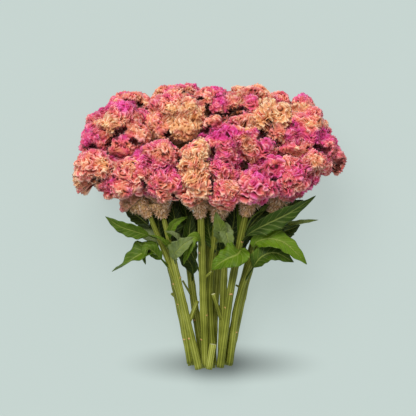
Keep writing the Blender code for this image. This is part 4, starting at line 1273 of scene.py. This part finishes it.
def build_leaf(name, leaf, finish, replaced, stations, halves):
    """A thin blade of so many stations along it and points on each half of its width."""
    draw = random.Random("leaf " + name)
    phase = draw.uniform(0, 2 * math.pi)
    seat, away = leaf_seat(leaf)
    path = smooth_path([seat] + leaf.path, stations + 1)
    upper, lower, along_marks, across_marks = [], [], [], []
    for k, point in enumerate(path):
        ahead = (path[min(k + 1, stations)] - path[max(k - 1, 0)]).normalized() if k else away
        face = Vector(leaf.facing)
        face = (face - ahead * face.dot(ahead)).normalized()
        share = k / stations
        turn = math.radians(leaf.twist) * share
        face = math.cos(turn) * face + math.sin(turn) * ahead.cross(face)
        side = ahead.cross(face)
        half = blade_half_width(share, leaf) * (1 + EDGE_DEPTH * math.sin(EDGE_TEETH * share + phase))
        blade = max(0.0, (share - leaf.petiole) / (1 - leaf.petiole))
        thick = BLADE_THICKNESS + PETIOLE_EXTRA * max(0, 1 - share / (leaf.petiole + 0.05))
        for s in range(-halves, halves + 1):
            step = s / halves
            spot = point + side * half * step + face * blade_lift(leaf, phase, share, blade, step, half)
            upper.append(spot + face * thick / 2)
            lower.append(spot - face * thick / 2)
            along_marks.append(blade)
            across_marks.append(step)
    count = len(upper)
    marks = {
        "along": along_marks * 2, "across": across_marks * 2, "under": [0.0] * count + [1.0] * count,
        "tone": [leaf.tone + draw.uniform(-0.05, 0.05)] * (2 * count)}
    faces = blade_faces(stations, 2 * halves + 1)
    make_piece("blade_" + name, upper + lower, faces, finish, marks, replaced)


# Floor, light and camera

def build_floor():
    """A pale board that glows a little, so that shadows on it stay faint, with a painted shadow at the stem
    feet where its glow is dimmed.
    """
    finish = Finish("pale_floor", 0.9)
    finish.paint(finish.mix(finish.noise(6), (92, 99, 97), (95, 102, 100)))
    from_feet = finish.node("ShaderNodeMapping", {"vector_type": "TEXTURE"}, {
        "Vector": finish.place(), "Location": PAINTED_SHADOW_PLACE, "Scale": PAINTED_SHADOW_SIZE})
    spread = finish.node("ShaderNodeVectorMath", {"operation": "LENGTH"}, {0: from_feet}, "Value")
    # Painted shadow: the glow turns dark in a soft patch at the stem feet
    painted_shadow = (1 - spread.between(0.0, 1.0)) * PAINTED_SHADOW_STRENGTH
    finish.feed(finish.shader.inputs["Emission Color"], finish.mix(painted_shadow, (174, 187, 183), (60, 66, 65)))
    finish.shader.inputs["Emission Strength"].default_value = FLOOR_GLOW
    mesh = bpy.data.meshes.new("floor")
    corners = [(x * FLOOR_REACH, y * FLOOR_REACH, 0) for x, y in ((-1, -1), (1, -1), (1, 1), (-1, 1))]
    mesh.from_pydata(corners, [], [(0, 1, 2, 3)])
    mesh.materials.append(finish.material)
    floor = bpy.data.objects.new("floor", mesh)
    bpy.context.scene.collection.objects.link(floor)


def light_studio():
    world = bpy.data.worlds.new("studio")
    world.use_nodes = True
    sky = world.node_tree.nodes["Background"]
    sky.inputs["Color"].default_value = SKY_COLOUR
    sky.inputs["Strength"].default_value = SKY_STRENGTH
    bpy.context.scene.world = world
    sun = bpy.data.lights.new("key", "SUN")
    sun.angle = KEY_SOFTNESS
    sun.energy = KEY_STRENGTH
    sun.color = KEY_COLOUR
    key = bpy.data.objects.new("key", sun)
    key.rotation_euler = Vector(KEY_FROM).to_track_quat("Z", "Y").to_euler()
    bpy.context.scene.collection.objects.link(key)


def aim_camera():
    """Square to the standing bunch's front: the photo's view, with the bunch laid on its back."""
    data = bpy.data.cameras.new("camera")
    data.lens = LENS
    data.sensor_width = SENSOR
    data.clip_end = SIGHT
    camera = bpy.data.objects.new("camera", data)
    toward_viewer = Vector((0, -math.sin(STEM_RISE), math.cos(STEM_RISE)))
    camera.location = Vector(lay_down([PHOTO_MIDDLE])[0]) + toward_viewer * PHOTO_FIELD * LENS / SENSOR
    camera.rotation_euler = (STEM_RISE, 0, 0)
    bpy.context.scene.collection.objects.link(camera)
    bpy.context.scene.camera = camera
    bpy.context.scene.view_settings.view_transform = "Standard"


def main():
    combs = {slot: comb_finish(slot, warmth) for slot, warmth in WARMTHS.items()}
    neck = neck_finish()
    stem = stem_finish()
    leaf = leaf_finish()
    for name, flower in FLOWERS.items():
        build_comb(name, combs[flower.slot])
        build_neck(name, neck)
        build_stem(name, stem)
    build_stub(stem)
    for name, shape in LEAVES.items():
        build_leaf(name, shape, leaf, "leaf_" + name, stations=36, halves=6)
    for name, shape in SMALL_LEAVES.items():
        build_leaf(name, shape, leaf, None, stations=26, halves=5)
    build_floor()
    light_studio()
    aim_camera()


main()
